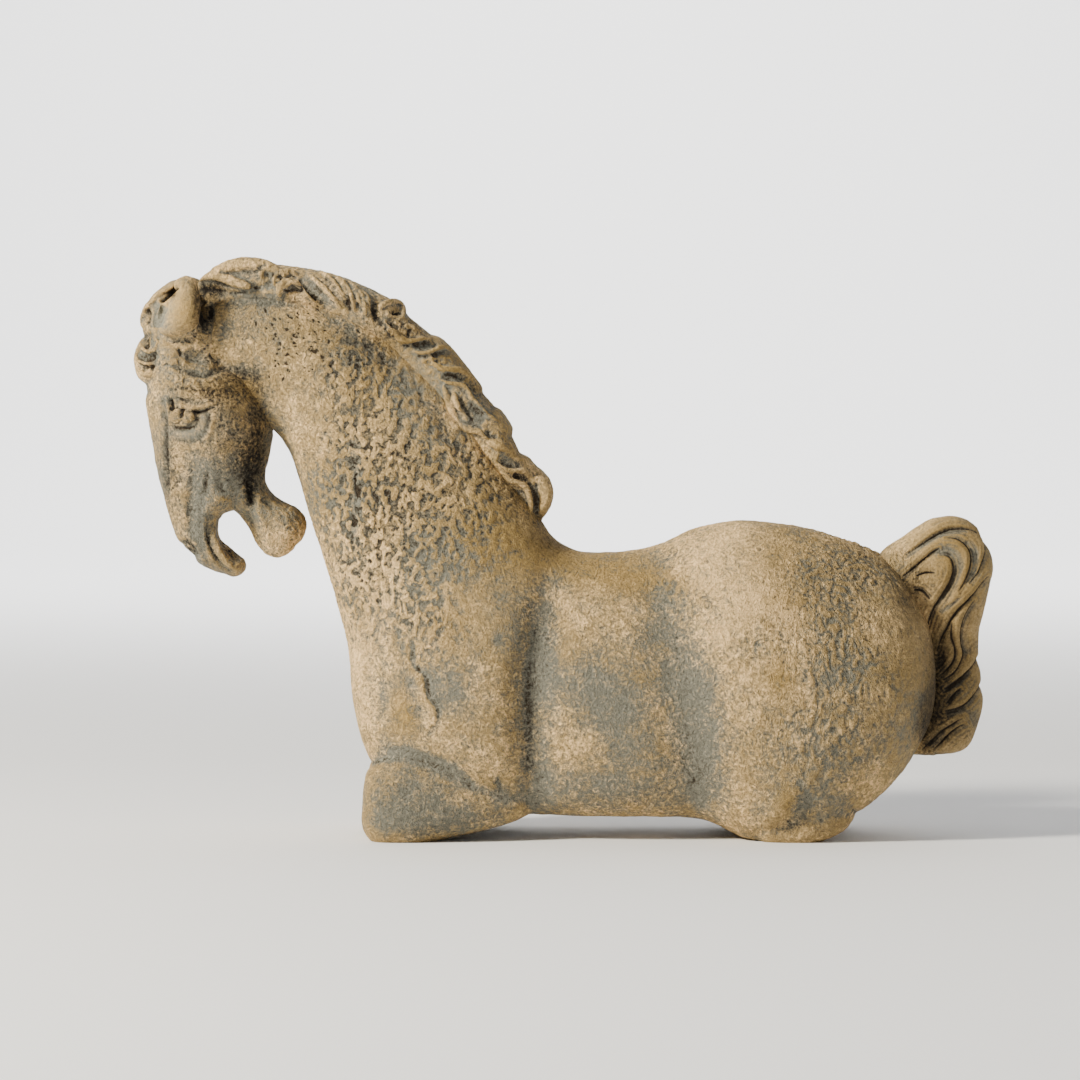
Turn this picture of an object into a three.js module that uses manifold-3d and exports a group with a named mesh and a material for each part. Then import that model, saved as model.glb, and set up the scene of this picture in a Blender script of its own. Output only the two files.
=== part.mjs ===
// A recumbent horse in the manner of the earthenware tomb figures of old China, modelled as the single
// casting that it is: trunk, neck, folded legs, head, ears, mane, forelock and tail in one closed solid.
// Millimetres, +Z up. The horse faces -X and lies on flats under its knees and haunches, at Z = 0.
import * as THREE from 'three';
import { mergeVertices } from 'three/addons/utils/BufferGeometryUtils.js';
import Module from 'manifold-3d';

// Driving sizes. Every outline below is a share of them.
const LENGTH = 500; // from the forelock to the back of the tail
const BODY_WIDTH = 145; // over the haunches

// Outlines are written in thousandths: x and z of the length, y of the body's width.
const along = LENGTH / 1000;
const across = BODY_WIDTH / 1000;
const place = (x, y, z) => new THREE.Vector3(x * along, y * across, z * along);

const CLAY_COLOUR = 0xa98f68;
const CLAY_ROUGHNESS = 0.85;

// Each station of a loft is [top x, top z, bottom x, bottom z, half width], seen from the side. The
// first and last stations are the points where the form closes. A form that comes once a side has its
// middle that far out from the figure's own.
const TRUNK = [
  [431, 188, 431, 188, 0], // back of the haunches
  [424, 239, 426, 141, 215],
  [406, 278, 406, 99, 330],
  [380, 315, 377, 62, 395],
  [345, 334, 340, 31, 435],
  [296, 351, 302, 5, 452],
  [244, 360, 255, -8, 458], // croup
  [197, 363, 209, 0, 448],
  [151, 353, 163, 19, 425],
  [105, 334, 111, 24, 405], // loin
  [55, 327, 53, 24, 398],
  [16, 329, -5, 26, 398],
  [-10, 344, -63, 27, 396], // withers
  [-23, 361, -128, 29, 398],
  [-33, 380, -187, 49, 392],
  [-48, 406, -224, 94, 376], // breast
  [-68, 436, -242, 155, 352],
  [-89, 466, -248, 219, 322],
  [-115, 500, -262, 273, 292],
  [-146, 537, -277, 322, 264],
  [-181, 570, -291, 364, 240],
  [-223, 599, -303, 405, 222], // middle of the neck
  [-266, 618, -316, 442, 206],
  [-309, 629, -335, 468, 190],
  [-350, 633, -362, 482, 174],
  [-385, 628, -390, 498, 160],
  [-414, 618, -412, 512, 140],
  [-440, 566, -440, 566, 0], // inside the poll
];

const SKULL = [
  [-424, 614, -424, 614, 0], // poll
  [-458, 610, -397, 598, 150],
  [-476, 579, -376, 565, 184],
  [-483, 544, -355, 530, 202], // forehead
  [-483, 514, -341, 503, 208],
  [-480, 485, -334, 475, 206],
  [-475, 456, -338, 447, 194],
  [-471, 431, -344, 422, 176],
  [-466, 408, -356, 398, 154],
  [-460, 385, -374, 378, 136],
  [-453, 361, -394, 370, 126], // nostrils
  [-443, 337, -398, 353, 120],
  [-424, 316, -391, 341, 110],
  [-400, 302, -383, 332, 98],
  [-381, 299, -374, 324, 80],
  [-366, 310, -366, 310, 0], // upper lip
];

const JAW = [
  [-380, 462, -380, 462, 0], // inside the cheeks
  [-402, 432, -346, 438, 126],
  [-399, 402, -344, 408, 124],
  [-388, 382, -335, 394, 112],
  [-374, 369, -320, 384, 100],
  [-363, 352, -305, 376, 95],
  [-356, 337, -297, 362, 94],
  [-346, 326, -298, 348, 84],
  [-330, 320, -307, 334, 60],
  [-318, 324, -318, 324, 0], // chin
];

const EAR = [
  [-439, 562, -439, 562, 0],
  [-463, 582, -416, 582, 54],
  [-464, 598, -415, 605, 58],
  [-456, 618, -416, 623, 50],
  [-448, 635, -422, 638, 32],
  [-436, 645, -436, 645, 0], // tip
];
const EAR_MIDDLE = 158;

// The hair between the ears, which falls over the forehead.
const FORELOCK = [
  [-424, 632, -424, 632, 0],
  [-444, 642, -414, 602, 96],
  [-464, 633, -424, 582, 128],
  [-480, 617, -434, 562, 140],
  [-490, 594, -444, 548, 146],
  [-493, 570, -448, 534, 146],
  [-495, 548, -452, 522, 132],
  [-488, 526, -458, 510, 104],
  [-470, 504, -470, 504, 0],
];
const FORELOCK_CURLS = 4; // from the ears down

const FORELEG = [
  [-229, 43, -229, 43, 0], // knee
  [-225, 76, -228, 12, 124],
  [-209, 90, -209, -8, 172],
  [-182, 101, -175, -9, 186],
  [-150, 99, -146, -1, 180],
  [-115, 88, -111, 7, 158],
  [-80, 74, -77, 15, 124],
  [-46, 60, -46, 25, 84],
  [-18, 46, -18, 46, 0], // elbow
];
const FORELEG_MIDDLE = 240;

const HIND_FOOT = [
  [214, 12, 214, 12, 0],
  [230, 30, 232, -3, 84],
  [260, 43, 262, -7, 112],
  [288, 50, 288, -2, 118],
  [318, 47, 320, 12, 92],
  [336, 31, 336, 31, 0], // hock
];
const HIND_FOOT_MIDDLE = 290;

const TAIL = [
  [351, 294, 351, 294, 0], // root, inside the croup
  [368, 326, 371, 265, 90],
  [394, 345, 386, 257, 108],
  [429, 366, 398, 250, 122],
  [467, 365, 405, 239, 132],
  [492, 339, 409, 225, 138],
  [499, 310, 409, 207, 140],
  [491, 270, 409, 190, 138],
  [482, 229, 409, 173, 136],
  [485, 187, 409, 155, 136],
  [488, 155, 407, 138, 130],
  [480, 123, 402, 121, 118],
  [466, 98, 395, 96, 100],
  [430, 90, 430, 90, 0], // tip
];
const TAIL_STRANDS = 4; // on a side

// The mane's outer edge and the line where it meets the neck, from the poll to the withers.
const MANE = [
  [-430, 626, -430, 626, 0],
  [-412, 649, -400, 606, 78],
  [-376, 662, -368, 608, 102],
  [-341, 660, -332, 606, 112],
  [-306, 656, -292, 602, 120],
  [-271, 650, -258, 590, 128],
  [-237, 638, -230, 574, 140],
  [-202, 621, -200, 552, 144],
  [-167, 595, -172, 522, 150],
  [-131, 566, -144, 494, 156],
  [-97, 524, -118, 456, 160],
  [-63, 480, -92, 416, 158],
  [-38, 436, -64, 380, 142],
  [-14, 410, -40, 360, 102],
  [-12, 384, -28, 358, 70],
  [-26, 366, -26, 366, 0],
];
const MANE_LOCKS = 10; // along its way

// The locks of a side that lie over the mane. The first starts at this share of the mane's way, each
// takes the next share as its reach, and all of them end before the last.
const OVERLAID_LOCKS = { count: 6, first: 0.06, reach: 0.2, last: 0.92, radius: 9 };

// The eye, the brow over it and the nostril, as x, y and z of a side, with half sizes or a radius.
const EYE = { centre: [-441, 200, 488], half: [14, 26, 10] };
const NOSTRIL = { centre: [-440, 120, 340], half: [9, 30, 15] };
const BROW = { path: [[-466, 150, 504], [-448, 190, 513], [-428, 205, 512], [-408, 212, 502]], radius: 8 };

// Soft masses of a side, as [centre x, centre z, reach in x, reach in z, height], and its hollows, as
// a line with the width and depth of its channel.
const BODY_RELIEF = {
  masses: [
    [-110, 175, 78, 130, 40], // shoulder
    [272, 180, 125, 135, 52], // haunch
    [52, 210, 60, 110, 14], // ribs
  ],
  hollows: [
    { line: [[-14, 290], [-34, 175], [-30, 45]], width: 24, depth: 44 }, // behind the shoulder
    { line: [[118, 275], [146, 165], [150, 45]], width: 38, depth: 56 }, // flank
    { line: [[-183, 235], [-168, 160], [-150, 125]], width: 9, depth: 14 }, // upper arm
    { line: [[-222, 210], [-210, 95]], width: 9, depth: 12 }, // beside the breast
    { line: [[-412, 542], [-356, 530], [-326, 470]], width: 15, depth: 30 }, // behind the cheek
  ],
};
const HEAD_RELIEF = {
  masses: [
    [-389, 476, 46, 50, 50], // cheek
    [-450, 537, 30, 24, 12], // brow
  ],
  hollows: [
    { line: [[-420, 548], [-366, 552]], width: 18, depth: 40 }, // below the ear
    { line: [[-436, 417], [-432, 352]], width: 12, depth: 14 }, // beside the nose
  ],
};

const wasm = await Module();
wasm.setup();

// The height of the modelled masses and hollows over the plain loft, at a place of the side view.
function heightAt(x, z, { masses, hollows }) {
  let height = 0;
  for (const [cx, cz, rx, rz, rise] of masses) {
    height += rise * Math.exp(-(((x - cx) / rx) ** 2) - ((z - cz) / rz) ** 2);
  }
  for (const { line, width, depth } of hollows) {
    height -= depth * Math.exp(-((distanceToLine(x, z, line) / width) ** 2));
  }
  return height;
}

function distanceToLine(x, z, line) {
  const here = new THREE.Vector3(x, 0, z);
  const nearest = new THREE.Vector3();
  let least = Infinity;
  for (let i = 1; i < line.length; i++) {
    const stretch = new THREE.Line3(
      new THREE.Vector3(line[i - 1][0], 0, line[i - 1][1]),
      new THREE.Vector3(line[i][0], 0, line[i][1]),
    );
    least = Math.min(least, stretch.closestPointToPoint(here, true, nearest).distanceTo(here));
  }
  return least;
}

// A closed skin over rings of points. pointAt(u, v) runs along the form with u and round it with v,
// and gives one point for all v at u = 0 and u = 1.
function closedSkin(rings, sides, pointAt) {
  const points = [pointAt(0, 0)];
  for (let i = 1; i < rings; i++) {
    for (let j = 0; j < sides; j++) points.push(pointAt(i / rings, j / sides));
  }
  points.push(pointAt(1, 0));
  const last = points.length - 1;
  const at = (i, j) => 1 + (i - 1) * sides + (j % sides);
  const faces = [];
  for (let j = 0; j < sides; j++) {
    faces.push(0, at(1, j + 1), at(1, j));
    for (let i = 1; i < rings - 1; i++) {
      faces.push(at(i, j), at(i, j + 1), at(i + 1, j), at(i, j + 1), at(i + 1, j + 1), at(i + 1, j));
    }
    faces.push(last, at(rings - 1, j), at(rings - 1, j + 1));
  }
  return new THREE.BufferGeometry().setFromPoints(points).setIndex(faces);
}

// The top line, the bottom line and the half width of a station list, as functions of u.
function linesOf(stations) {
  const curve = (pick) => new THREE.CatmullRomCurve3(stations.map(pick), false, 'catmullrom', 0.5);
  const top = curve(([x, z]) => new THREE.Vector3(x, 0, z));
  const bottom = curve(([, , x, z]) => new THREE.Vector3(x, 0, z));
  const width = curve(([, , , , half]) => new THREE.Vector3(0, half, 0));
  return {
    between: (u, share) => bottom.getPoint(u).lerp(top.getPoint(u), share),
    halfWidth: (u) => Math.max(width.getPoint(u).y, 0),
  };
}

const plainOval = () => 0;
const unswollen = () => 0;
const straight = () => 0;

// A loft between the top and bottom lines of its stations. Its section is an oval: the half width
// times a sine, thinned towards the top by lean. fullness(half, share) squares the oval off, swell
// makes it larger or smaller by a share, and drift slides its points round it. middle is how far the
// form's own middle stands out sideways, and relief adds the masses and hollows of the side.
function loft(stations, options) {
  const { rings, sides, lean = 0, middle = 0, side = 1, relief = null } = options;
  const { fullness = plainOval, swell = unswollen, drift = straight } = options;
  const { between, halfWidth } = linesOf(stations);
  return closedSkin(rings, sides, (u, v) => {
    const round = 2 * Math.PI * v;
    const turn = round + drift(u) * Math.sin(round);
    const size = 1 + swell(u, v);
    const share = (1 + Math.cos(turn)) / 2;
    const { x, z } = between(u, 0.5 + size * (share - 0.5));
    const half = halfWidth(u) * (1 - lean * Math.cos(turn));
    const out = Math.sign(Math.sin(turn)) * Math.abs(Math.sin(turn)) ** (1 - fullness(half, share));
    const raised = relief ? heightAt(x, z, relief) * Math.min(half / 180, 1) : 0;
    return place(x, side * (middle + out * size * (half + raised)), z);
  });
}

// Rounded strands with sharp grooves between them, as a swelling from -height to +height.
const strands = (phase, height) => height * (2 * Math.abs(Math.sin(Math.PI * phase)) - 1);

// A lock of hair: a round cord of clay along a path, thickest in its middle and pointed at both ends.
function lock(path, radius, rings, sides = 5) {
  const curve = new THREE.CatmullRomCurve3(path);
  const { normals, binormals } = curve.computeFrenetFrames(rings, false);
  return closedSkin(rings, sides, (u, v) => {
    const turn = 2 * Math.PI * v;
    const thick = radius * Math.sin(Math.PI * u) ** 0.6;
    const ring = Math.round(u * rings);
    return curve
      .getPoint(u)
      .addScaledVector(normals[ring], thick * Math.cos(turn))
      .addScaledVector(binormals[ring], thick * Math.sin(turn));
  });
}

// A closed mesh as a solid for joining and cutting, turned so that its faces point out.
function solidOf(geometry) {
  const bare = geometry.clone();
  for (const name of Object.keys(bare.attributes)) {
    if (name !== 'position') bare.deleteAttribute(name);
  }
  const merged = mergeVertices(bare, 1e-4);
  const triVerts = new Uint32Array(merged.index.array);
  const vertProperties = merged.attributes.position.array;
  const build = () => new wasm.Manifold(new wasm.Mesh({ numProp: 3, vertProperties, triVerts }));
  const solid = build();
  if (solid.volume() > 0) return solid;
  for (let i = 0; i < triVerts.length; i += 3) {
    [triVerts[i + 1], triVerts[i + 2]] = [triVerts[i + 2], triVerts[i + 1]];
  }
  return build();
}

// The corners that a walk over shared edges reaches from one of them.
function cornersJoinedTo(start, triVerts, numVert) {
  const neighbours = Array.from({ length: numVert }, () => []);
  for (let i = 0; i < triVerts.length; i += 3) {
    for (let j = 0; j < 3; j++) neighbours[triVerts[i + j]].push(triVerts[i + ((j + 1) % 3)]);
  }
  const reached = new Set([start]);
  for (const corner of reached) {
    for (const next of neighbours[corner]) reached.add(next);
  }
  return reached;
}

// The outer skin of a solid. Closed pockets between the locks are left out, so clay fills them.
function geometryOf(solid) {
  const { numProp, numVert, vertProperties, triVerts } = solid.getMesh();
  const positions = new Float32Array(3 * numVert);
  let lowest = 0;
  for (let i = 0; i < numVert; i++) {
    positions.set(vertProperties.subarray(i * numProp, i * numProp + 3), 3 * i);
    if (positions[3 * i + 2] < positions[3 * lowest + 2]) lowest = i;
  }
  const skin = cornersJoinedTo(lowest, triVerts, numVert);
  const faces = [];
  for (let i = 0; i < triVerts.length; i += 3) {
    if (skin.has(triVerts[i])) faces.push(...triVerts.subarray(i, i + 3));
  }
  return new THREE.BufferGeometry()
    .setAttribute('position', new THREE.BufferAttribute(positions, 3))
    .setIndex(faces);
}

const bothSides = (make) => [make(-1), make(1)];

const trunk = () =>
  loft(TRUNK, {
    rings: 38,
    sides: 22,
    lean: 0.16,
    relief: BODY_RELIEF,
    fullness: (half, share) => 0.62 * (1 - share) * Math.min(half / 450, 1) ** 2,
  });

const foreleg = (side) =>
  loft(FORELEG, { rings: 12, sides: 12, middle: FORELEG_MIDDLE, side, fullness: () => 0.45 });

const hindFoot = (side) =>
  loft(HIND_FOOT, { rings: 8, sides: 10, middle: HIND_FOOT_MIDDLE, side, fullness: () => 0.4 });

const ear = (side) => loft(EAR, { rings: 8, sides: 8, middle: EAR_MIDDLE, side });

const mane = () =>
  loft(MANE, {
    rings: 60,
    sides: 8,
    swell: (u, v) => strands(MANE_LOCKS * u - 1.4 * Math.abs(Math.sin(Math.PI * v)), 0.08),
  });

const tail = () =>
  loft(TAIL, {
    rings: 18,
    sides: 24,
    drift: (u) => 0.3 * Math.sin(3 * Math.PI * u),
    swell: (u, v) => strands(2 * TAIL_STRANDS * v, 0.06),
  });

const forelock = () =>
  loft(FORELOCK, {
    rings: 20,
    sides: 10,
    swell: (u, v) => strands(FORELOCK_CURLS * u + 0.8 * Math.abs(Math.sin(Math.PI * v)), 0.1),
  });

// Locks that lie over the mane, each crossing it in an S from its crest down to the neck.
function maneLocks(side) {
  const { between, halfWidth } = linesOf(MANE);
  const { count, first, reach, last, radius } = OVERLAID_LOCKS;
  const steps = 6;
  const shift = side > 0 ? 0.4 : 0;
  return Array.from({ length: count }, (_, k) => {
    const start = first + ((last - first - reach) * (k + shift)) / count;
    const path = Array.from({ length: steps + 1 }, (_, i) => {
      const s = i / steps;
      const u = start + reach * s;
      const turn = Math.PI * (0.16 + 0.5 * s + 0.13 * Math.sin(2 * Math.PI * s));
      const { x, z } = between(u, (1 + Math.cos(turn)) / 2);
      return place(x, side * halfWidth(u) * Math.sin(turn), z);
    });
    return lock(path, radius * along, 7);
  });
}

const brow = (side) =>
  lock(BROW.path.map(([x, y, z]) => place(x, side * y, z)), BROW.radius * along, 6);

const eye = (side) => ball(EYE, side);

const nostril = (side) => ball(NOSTRIL, side);

function ball({ centre: [x, y, z], half }, side) {
  const middle = place(x, side * y, z);
  const { x: reach, y: width, z: height } = place(...half);
  return new THREE.SphereGeometry(1, 10, 6)
    .scale(reach, width, height)
    .translate(middle.x, middle.y, middle.z);
}

const added = [
  loft(SKULL, { rings: 22, sides: 16, fullness: () => 0.12, relief: HEAD_RELIEF }),
  loft(JAW, { rings: 12, sides: 14 }),
  mane(),
  tail(),
  forelock(),
  ...[ear, foreleg, hindFoot, eye, brow].flatMap(bothSides),
  ...bothSides(maneLocks).flat(),
];
const belowTheBase = new THREE.BoxGeometry(2 * LENGTH, 4 * BODY_WIDTH, LENGTH).translate(0, 0, -LENGTH / 2);
const cutAway = [belowTheBase, ...bothSides(nostril)];

let solid = solidOf(trunk());
for (const piece of added) solid = solid.add(solidOf(piece));
for (const piece of cutAway) solid = solid.subtract(solidOf(piece));

const geometry = geometryOf(solid);
geometry.computeBoundingBox();
const middle = geometry.boundingBox.getCenter(new THREE.Vector3());
geometry.translate(-middle.x, -middle.y, 0);
geometry.computeVertexNormals();

const clay = new THREE.MeshStandardMaterial({
  color: CLAY_COLOUR,
  roughness: CLAY_ROUGHNESS,
  metalness: 0,
});
const horse = new THREE.Mesh(geometry, clay);
horse.name = 'horse';

const figure = new THREE.Group();
figure.add(horse);

export default figure;
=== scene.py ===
"""A recumbent earthenware horse in the manner of old Chinese tomb figures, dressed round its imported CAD
model: a trunk, a head, a mane and a tail of fired clay, with their carving, their grain and the earth
that has settled in them. Metres, +Z up, the horse faces -X and its photographed side is -Y."""
import math

import bpy
import numpy as np
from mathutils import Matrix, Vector


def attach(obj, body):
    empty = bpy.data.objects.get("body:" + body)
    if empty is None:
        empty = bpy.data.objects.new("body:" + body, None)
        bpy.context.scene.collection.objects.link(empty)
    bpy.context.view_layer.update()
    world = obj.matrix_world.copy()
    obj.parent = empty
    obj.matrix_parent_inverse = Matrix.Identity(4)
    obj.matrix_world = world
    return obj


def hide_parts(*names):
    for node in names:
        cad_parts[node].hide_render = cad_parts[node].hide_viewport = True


bl_info = {
    "name": "Recumbent clay horse",
    "version": (1, 0, 0),
    "blender": (4, 5, 0),
    "location": "View3D > Sidebar > Horse",
    "description": "Builds the carved clay surfaces of a recumbent horse round its CAD model",
    "category": "Add Mesh",
}

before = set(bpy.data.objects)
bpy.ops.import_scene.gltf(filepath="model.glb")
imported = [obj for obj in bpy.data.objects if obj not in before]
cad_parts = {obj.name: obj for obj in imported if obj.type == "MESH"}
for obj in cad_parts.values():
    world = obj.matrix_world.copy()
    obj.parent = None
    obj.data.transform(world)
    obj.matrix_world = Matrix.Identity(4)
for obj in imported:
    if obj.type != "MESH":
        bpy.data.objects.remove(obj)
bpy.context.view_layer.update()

MM = 0.001

# The photograph: its size, how much of the model a pixel spans at the target, and where its camera is.
PHOTO_SIDE = 1080
PIXEL = 0.579 * MM
TARGET = np.array([-14.2, 0.0, 170.3]) * MM
CAMERA_DISTANCE = 2.6
CAMERA_RISE = math.radians(2)
SENSOR = 36
UP = np.array([0, math.sin(CAMERA_RISE), math.cos(CAMERA_RISE)])
BACK = np.array([0, -math.cos(CAMERA_RISE), math.sin(CAMERA_RISE)])

# The station tables below have their origin this far along X from the middle of the CAD box.
ORIGIN_X = -1.06 * MM

# Each station of a loft is (top x, top z, bottom x, bottom z, half width), seen from the side, in
# thousandths: x and z of the length, half width of the body's width.
TRUNK = [
    (431, 188, 431, 188, 0),  # back of the haunches
    (424, 239, 426, 141, 215),
    (406, 278, 406, 99, 330),
    (380, 315, 377, 62, 395),
    (345, 334, 340, 31, 435),
    (296, 351, 302, 5, 452),
    (244, 360, 255, -8, 458),  # croup
    (197, 363, 209, 0, 448),
    (151, 353, 163, 19, 425),
    (105, 334, 111, 24, 405),  # loin
    (55, 327, 53, 24, 398),
    (16, 329, -5, 26, 398),
    (-10, 344, -63, 27, 396),  # withers
    (-23, 361, -128, 29, 398),
    (-33, 380, -187, 49, 392),
    (-48, 406, -224, 94, 376),  # breast
    (-68, 436, -242, 155, 352),
    (-89, 466, -248, 219, 322),
    (-115, 500, -262, 273, 292),
    (-146, 537, -277, 322, 264),
    (-181, 570, -291, 364, 240),
    (-223, 599, -303, 405, 222),  # middle of the neck
    (-266, 618, -316, 442, 206),
    (-309, 629, -335, 468, 190),
    (-350, 633, -362, 482, 174),
    (-385, 628, -390, 498, 160),
    (-414, 618, -412, 512, 140),
    (-440, 566, -440, 566, 0),  # inside the poll
]

FORELEG = [
    (-229, 43, -229, 43, 0),  # knee
    (-225, 76, -228, 12, 124),
    (-209, 90, -209, -8, 172),
    (-182, 101, -175, -9, 186),
    (-150, 99, -146, -1, 180),
    (-115, 88, -111, 7, 158),
    (-80, 74, -77, 15, 124),
    (-46, 60, -46, 25, 84),
    (-18, 46, -18, 46, 0),  # elbow
]

HIND_FOOT = [
    (214, 12, 214, 12, 0),
    (230, 30, 232, -3, 84),
    (260, 43, 262, -7, 112),
    (288, 50, 288, -2, 118),
    (318, 47, 320, 12, 92),
    (336, 31, 336, 31, 0),  # hock
]

SKULL = [
    (-424, 614, -424, 614, 0),  # poll
    (-458, 610, -397, 598, 150),
    (-476, 579, -376, 565, 184),
    (-483, 544, -355, 530, 202),  # forehead
    (-483, 514, -341, 503, 208),
    (-480, 485, -334, 475, 206),
    (-475, 456, -338, 447, 194),
    (-471, 431, -344, 422, 176),
    (-466, 408, -356, 398, 154),
    (-460, 385, -374, 378, 136),
    (-453, 361, -394, 370, 126),  # nostrils
    (-443, 337, -398, 353, 120),
    (-424, 316, -391, 341, 110),
    (-405, 305, -381, 331, 100),
    (-391, 301, -371, 321, 94),
    (-384, 298, -367, 314, 80),
    (-378, 298, -367, 307, 52),
    (-371, 301, -371, 301, 0),  # upper lip
]

JAW = [
    (-380, 462, -380, 462, 0),  # inside the cheeks
    (-402, 432, -346, 438, 126),
    (-399, 402, -344, 408, 124),
    (-388, 382, -335, 394, 112),
    (-374, 369, -320, 384, 100),
    (-363, 352, -305, 376, 95),
    (-356, 337, -297, 362, 94),
    (-346, 326, -298, 348, 84),
    (-330, 320, -307, 334, 60),
    (-318, 324, -318, 324, 0),  # chin
]

EAR = [
    (-446, 573, -446, 573, 0),
    (-461, 580, -432, 577, 56),
    (-463, 590, -415, 589, 78),
    (-457, 603, -410, 604, 82),
    (-449, 620, -415, 621, 64),
    (-446, 632, -418, 634, 46),
    (-442, 641, -421, 642, 32),
    (-432, 646, -432, 646, 0),  # tip
]

FORELOCK = [
    (-424, 632, -424, 632, 0),
    (-444, 642, -414, 602, 96),
    (-464, 633, -424, 582, 128),
    (-479, 617, -434, 562, 140),
    (-486, 597, -442, 550, 146),
    (-486, 578, -446, 539, 146),
    (-494, 561, -449, 531, 140),
    (-496, 545, -453, 521, 130),
    (-489, 525, -458, 510, 104),
    (-470, 504, -470, 504, 0),
]

TAIL = [
    (351, 294, 351, 294, 0),  # root, inside the croup
    (368, 326, 371, 265, 90),
    (394, 345, 386, 257, 108),
    (429, 366, 398, 250, 122),
    (467, 365, 405, 239, 132),
    (492, 339, 409, 225, 138),
    (499, 310, 409, 207, 140),
    (491, 270, 409, 190, 138),
    (482, 229, 409, 173, 136),
    (485, 187, 409, 155, 136),
    (488, 155, 407, 138, 130),
    (480, 123, 402, 121, 118),
    (466, 98, 395, 96, 100),
    (430, 90, 430, 90, 0),  # tip
]

MANE = [
    (-430, 626, -430, 626, 0),
    (-412, 649, -400, 606, 78),
    (-376, 662, -368, 608, 102),
    (-341, 660, -332, 606, 112),
    (-306, 656, -292, 602, 120),
    (-271, 650, -258, 590, 128),
    (-237, 638, -230, 574, 140),
    (-202, 621, -200, 552, 144),
    (-167, 595, -172, 522, 150),
    (-131, 566, -144, 494, 156),
    (-97, 524, -118, 456, 160),
    (-63, 480, -92, 416, 158),
    (-38, 436, -64, 380, 142),
    (-14, 410, -40, 360, 102),
    (-12, 384, -28, 358, 70),
    (-26, 366, -26, 366, 0),
]

# Soft masses of a side, as (centre x, centre z, reach in x, reach in z, height), and its hollows, as
# (width, depth, line), in the tables' thousandths.
BODY_MASSES = [
    (-110, 175, 78, 130, 40),  # shoulder
    (272, 180, 125, 135, 52),  # haunch
    (52, 210, 60, 110, 14),  # ribs
]
BODY_HOLLOWS = [
    (24, 44, [(-14, 290), (-34, 175), (-30, 45)]),  # behind the shoulder
    (38, 56, [(118, 275), (146, 165), (150, 45)]),  # flank
    (9, 14, [(-183, 235), (-168, 160), (-150, 125)]),  # upper arm
    (9, 12, [(-222, 210), (-210, 95)]),  # beside the breast
    (15, 30, [(-412, 542), (-356, 530), (-326, 470)]),  # behind the cheek
]
HEAD_MASSES = [
    (-389, 476, 46, 50, 50),  # cheek
    (-450, 537, 30, 24, 12),  # brow
]
HEAD_HOLLOWS = [
    (18, 40, [(-420, 548), (-366, 552)]),  # below the ear
    (12, 14, [(-436, 417), (-432, 352)]),  # beside the nose
]

# Carving of a side, as (profile, width in pixels, height or depth in millimetres, line in pixels of the
# photograph). The far side has the same. Wash settles in a dish, and dark earth with painted shade lies in a
# pit and in a narrow groove.
BODY_CARVING = [
    ("dish", 5.5, 1.2, [(386, 758), (395, 750), (417, 756), (435, 762), (453, 768), (466, 779),
        (476, 792)]),
    ("ridge", 5, 0.9, [(400, 757), (410, 758), (420, 760)]),
    ("step", 3.5, 1.7, [(405, 622), (409, 642), (412, 666), (423, 677), (427, 697), (435, 707),
        (436, 720), (426, 734)]),
    ("groove", 8, 0.9, [(377, 651), (386, 718), (386, 755)]),
    ("groove", 26, 2.0, [(545, 600), (530, 690), (535, 805)]),
    ("groove", 4.5, 0.9, [(537, 625), (530, 680), (530, 730), (527, 780)]),
    ("ridge", 9, 1.4, [(798, 785), (782, 806), (764, 830)]),
    ("groove", 11, 1.6, [(812, 792), (800, 812), (786, 834)]),
    ("groove", 4, 0.8, [(846, 800), (856, 812), (868, 822)]),
    ("ridge", 7, 0.7, [(655, 556), (700, 540), (765, 529), (830, 540)]),
    ("dish", 4.5, 1.4, [(350, 440), (355, 468), (357, 500), (354, 528), (357, 556)]),
    ("groove", 3, 0.5, [(372, 470), (378, 520), (376, 560)]),
    ("dish", 6, 1.2, [(225, 300), (250, 299), (285, 301), (318, 306), (345, 324), (372, 345)]),
    ("groove", 9, 1.2, [(270, 310), (320, 322), (372, 352), (425, 398), (462, 452), (500, 500),
        (528, 528)]),
    ("pit", 4.0, 1.0, [(498, 781), (500, 788)]),
    ("pit", 5, 1.0, [(403, 792), (406, 794)]),
    ("pit", 8, 4.5, [(204, 289), (216, 291)]),
    ("groove", 6, 3.5, [(210, 298), (209, 314), (206, 332)]),
]

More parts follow.
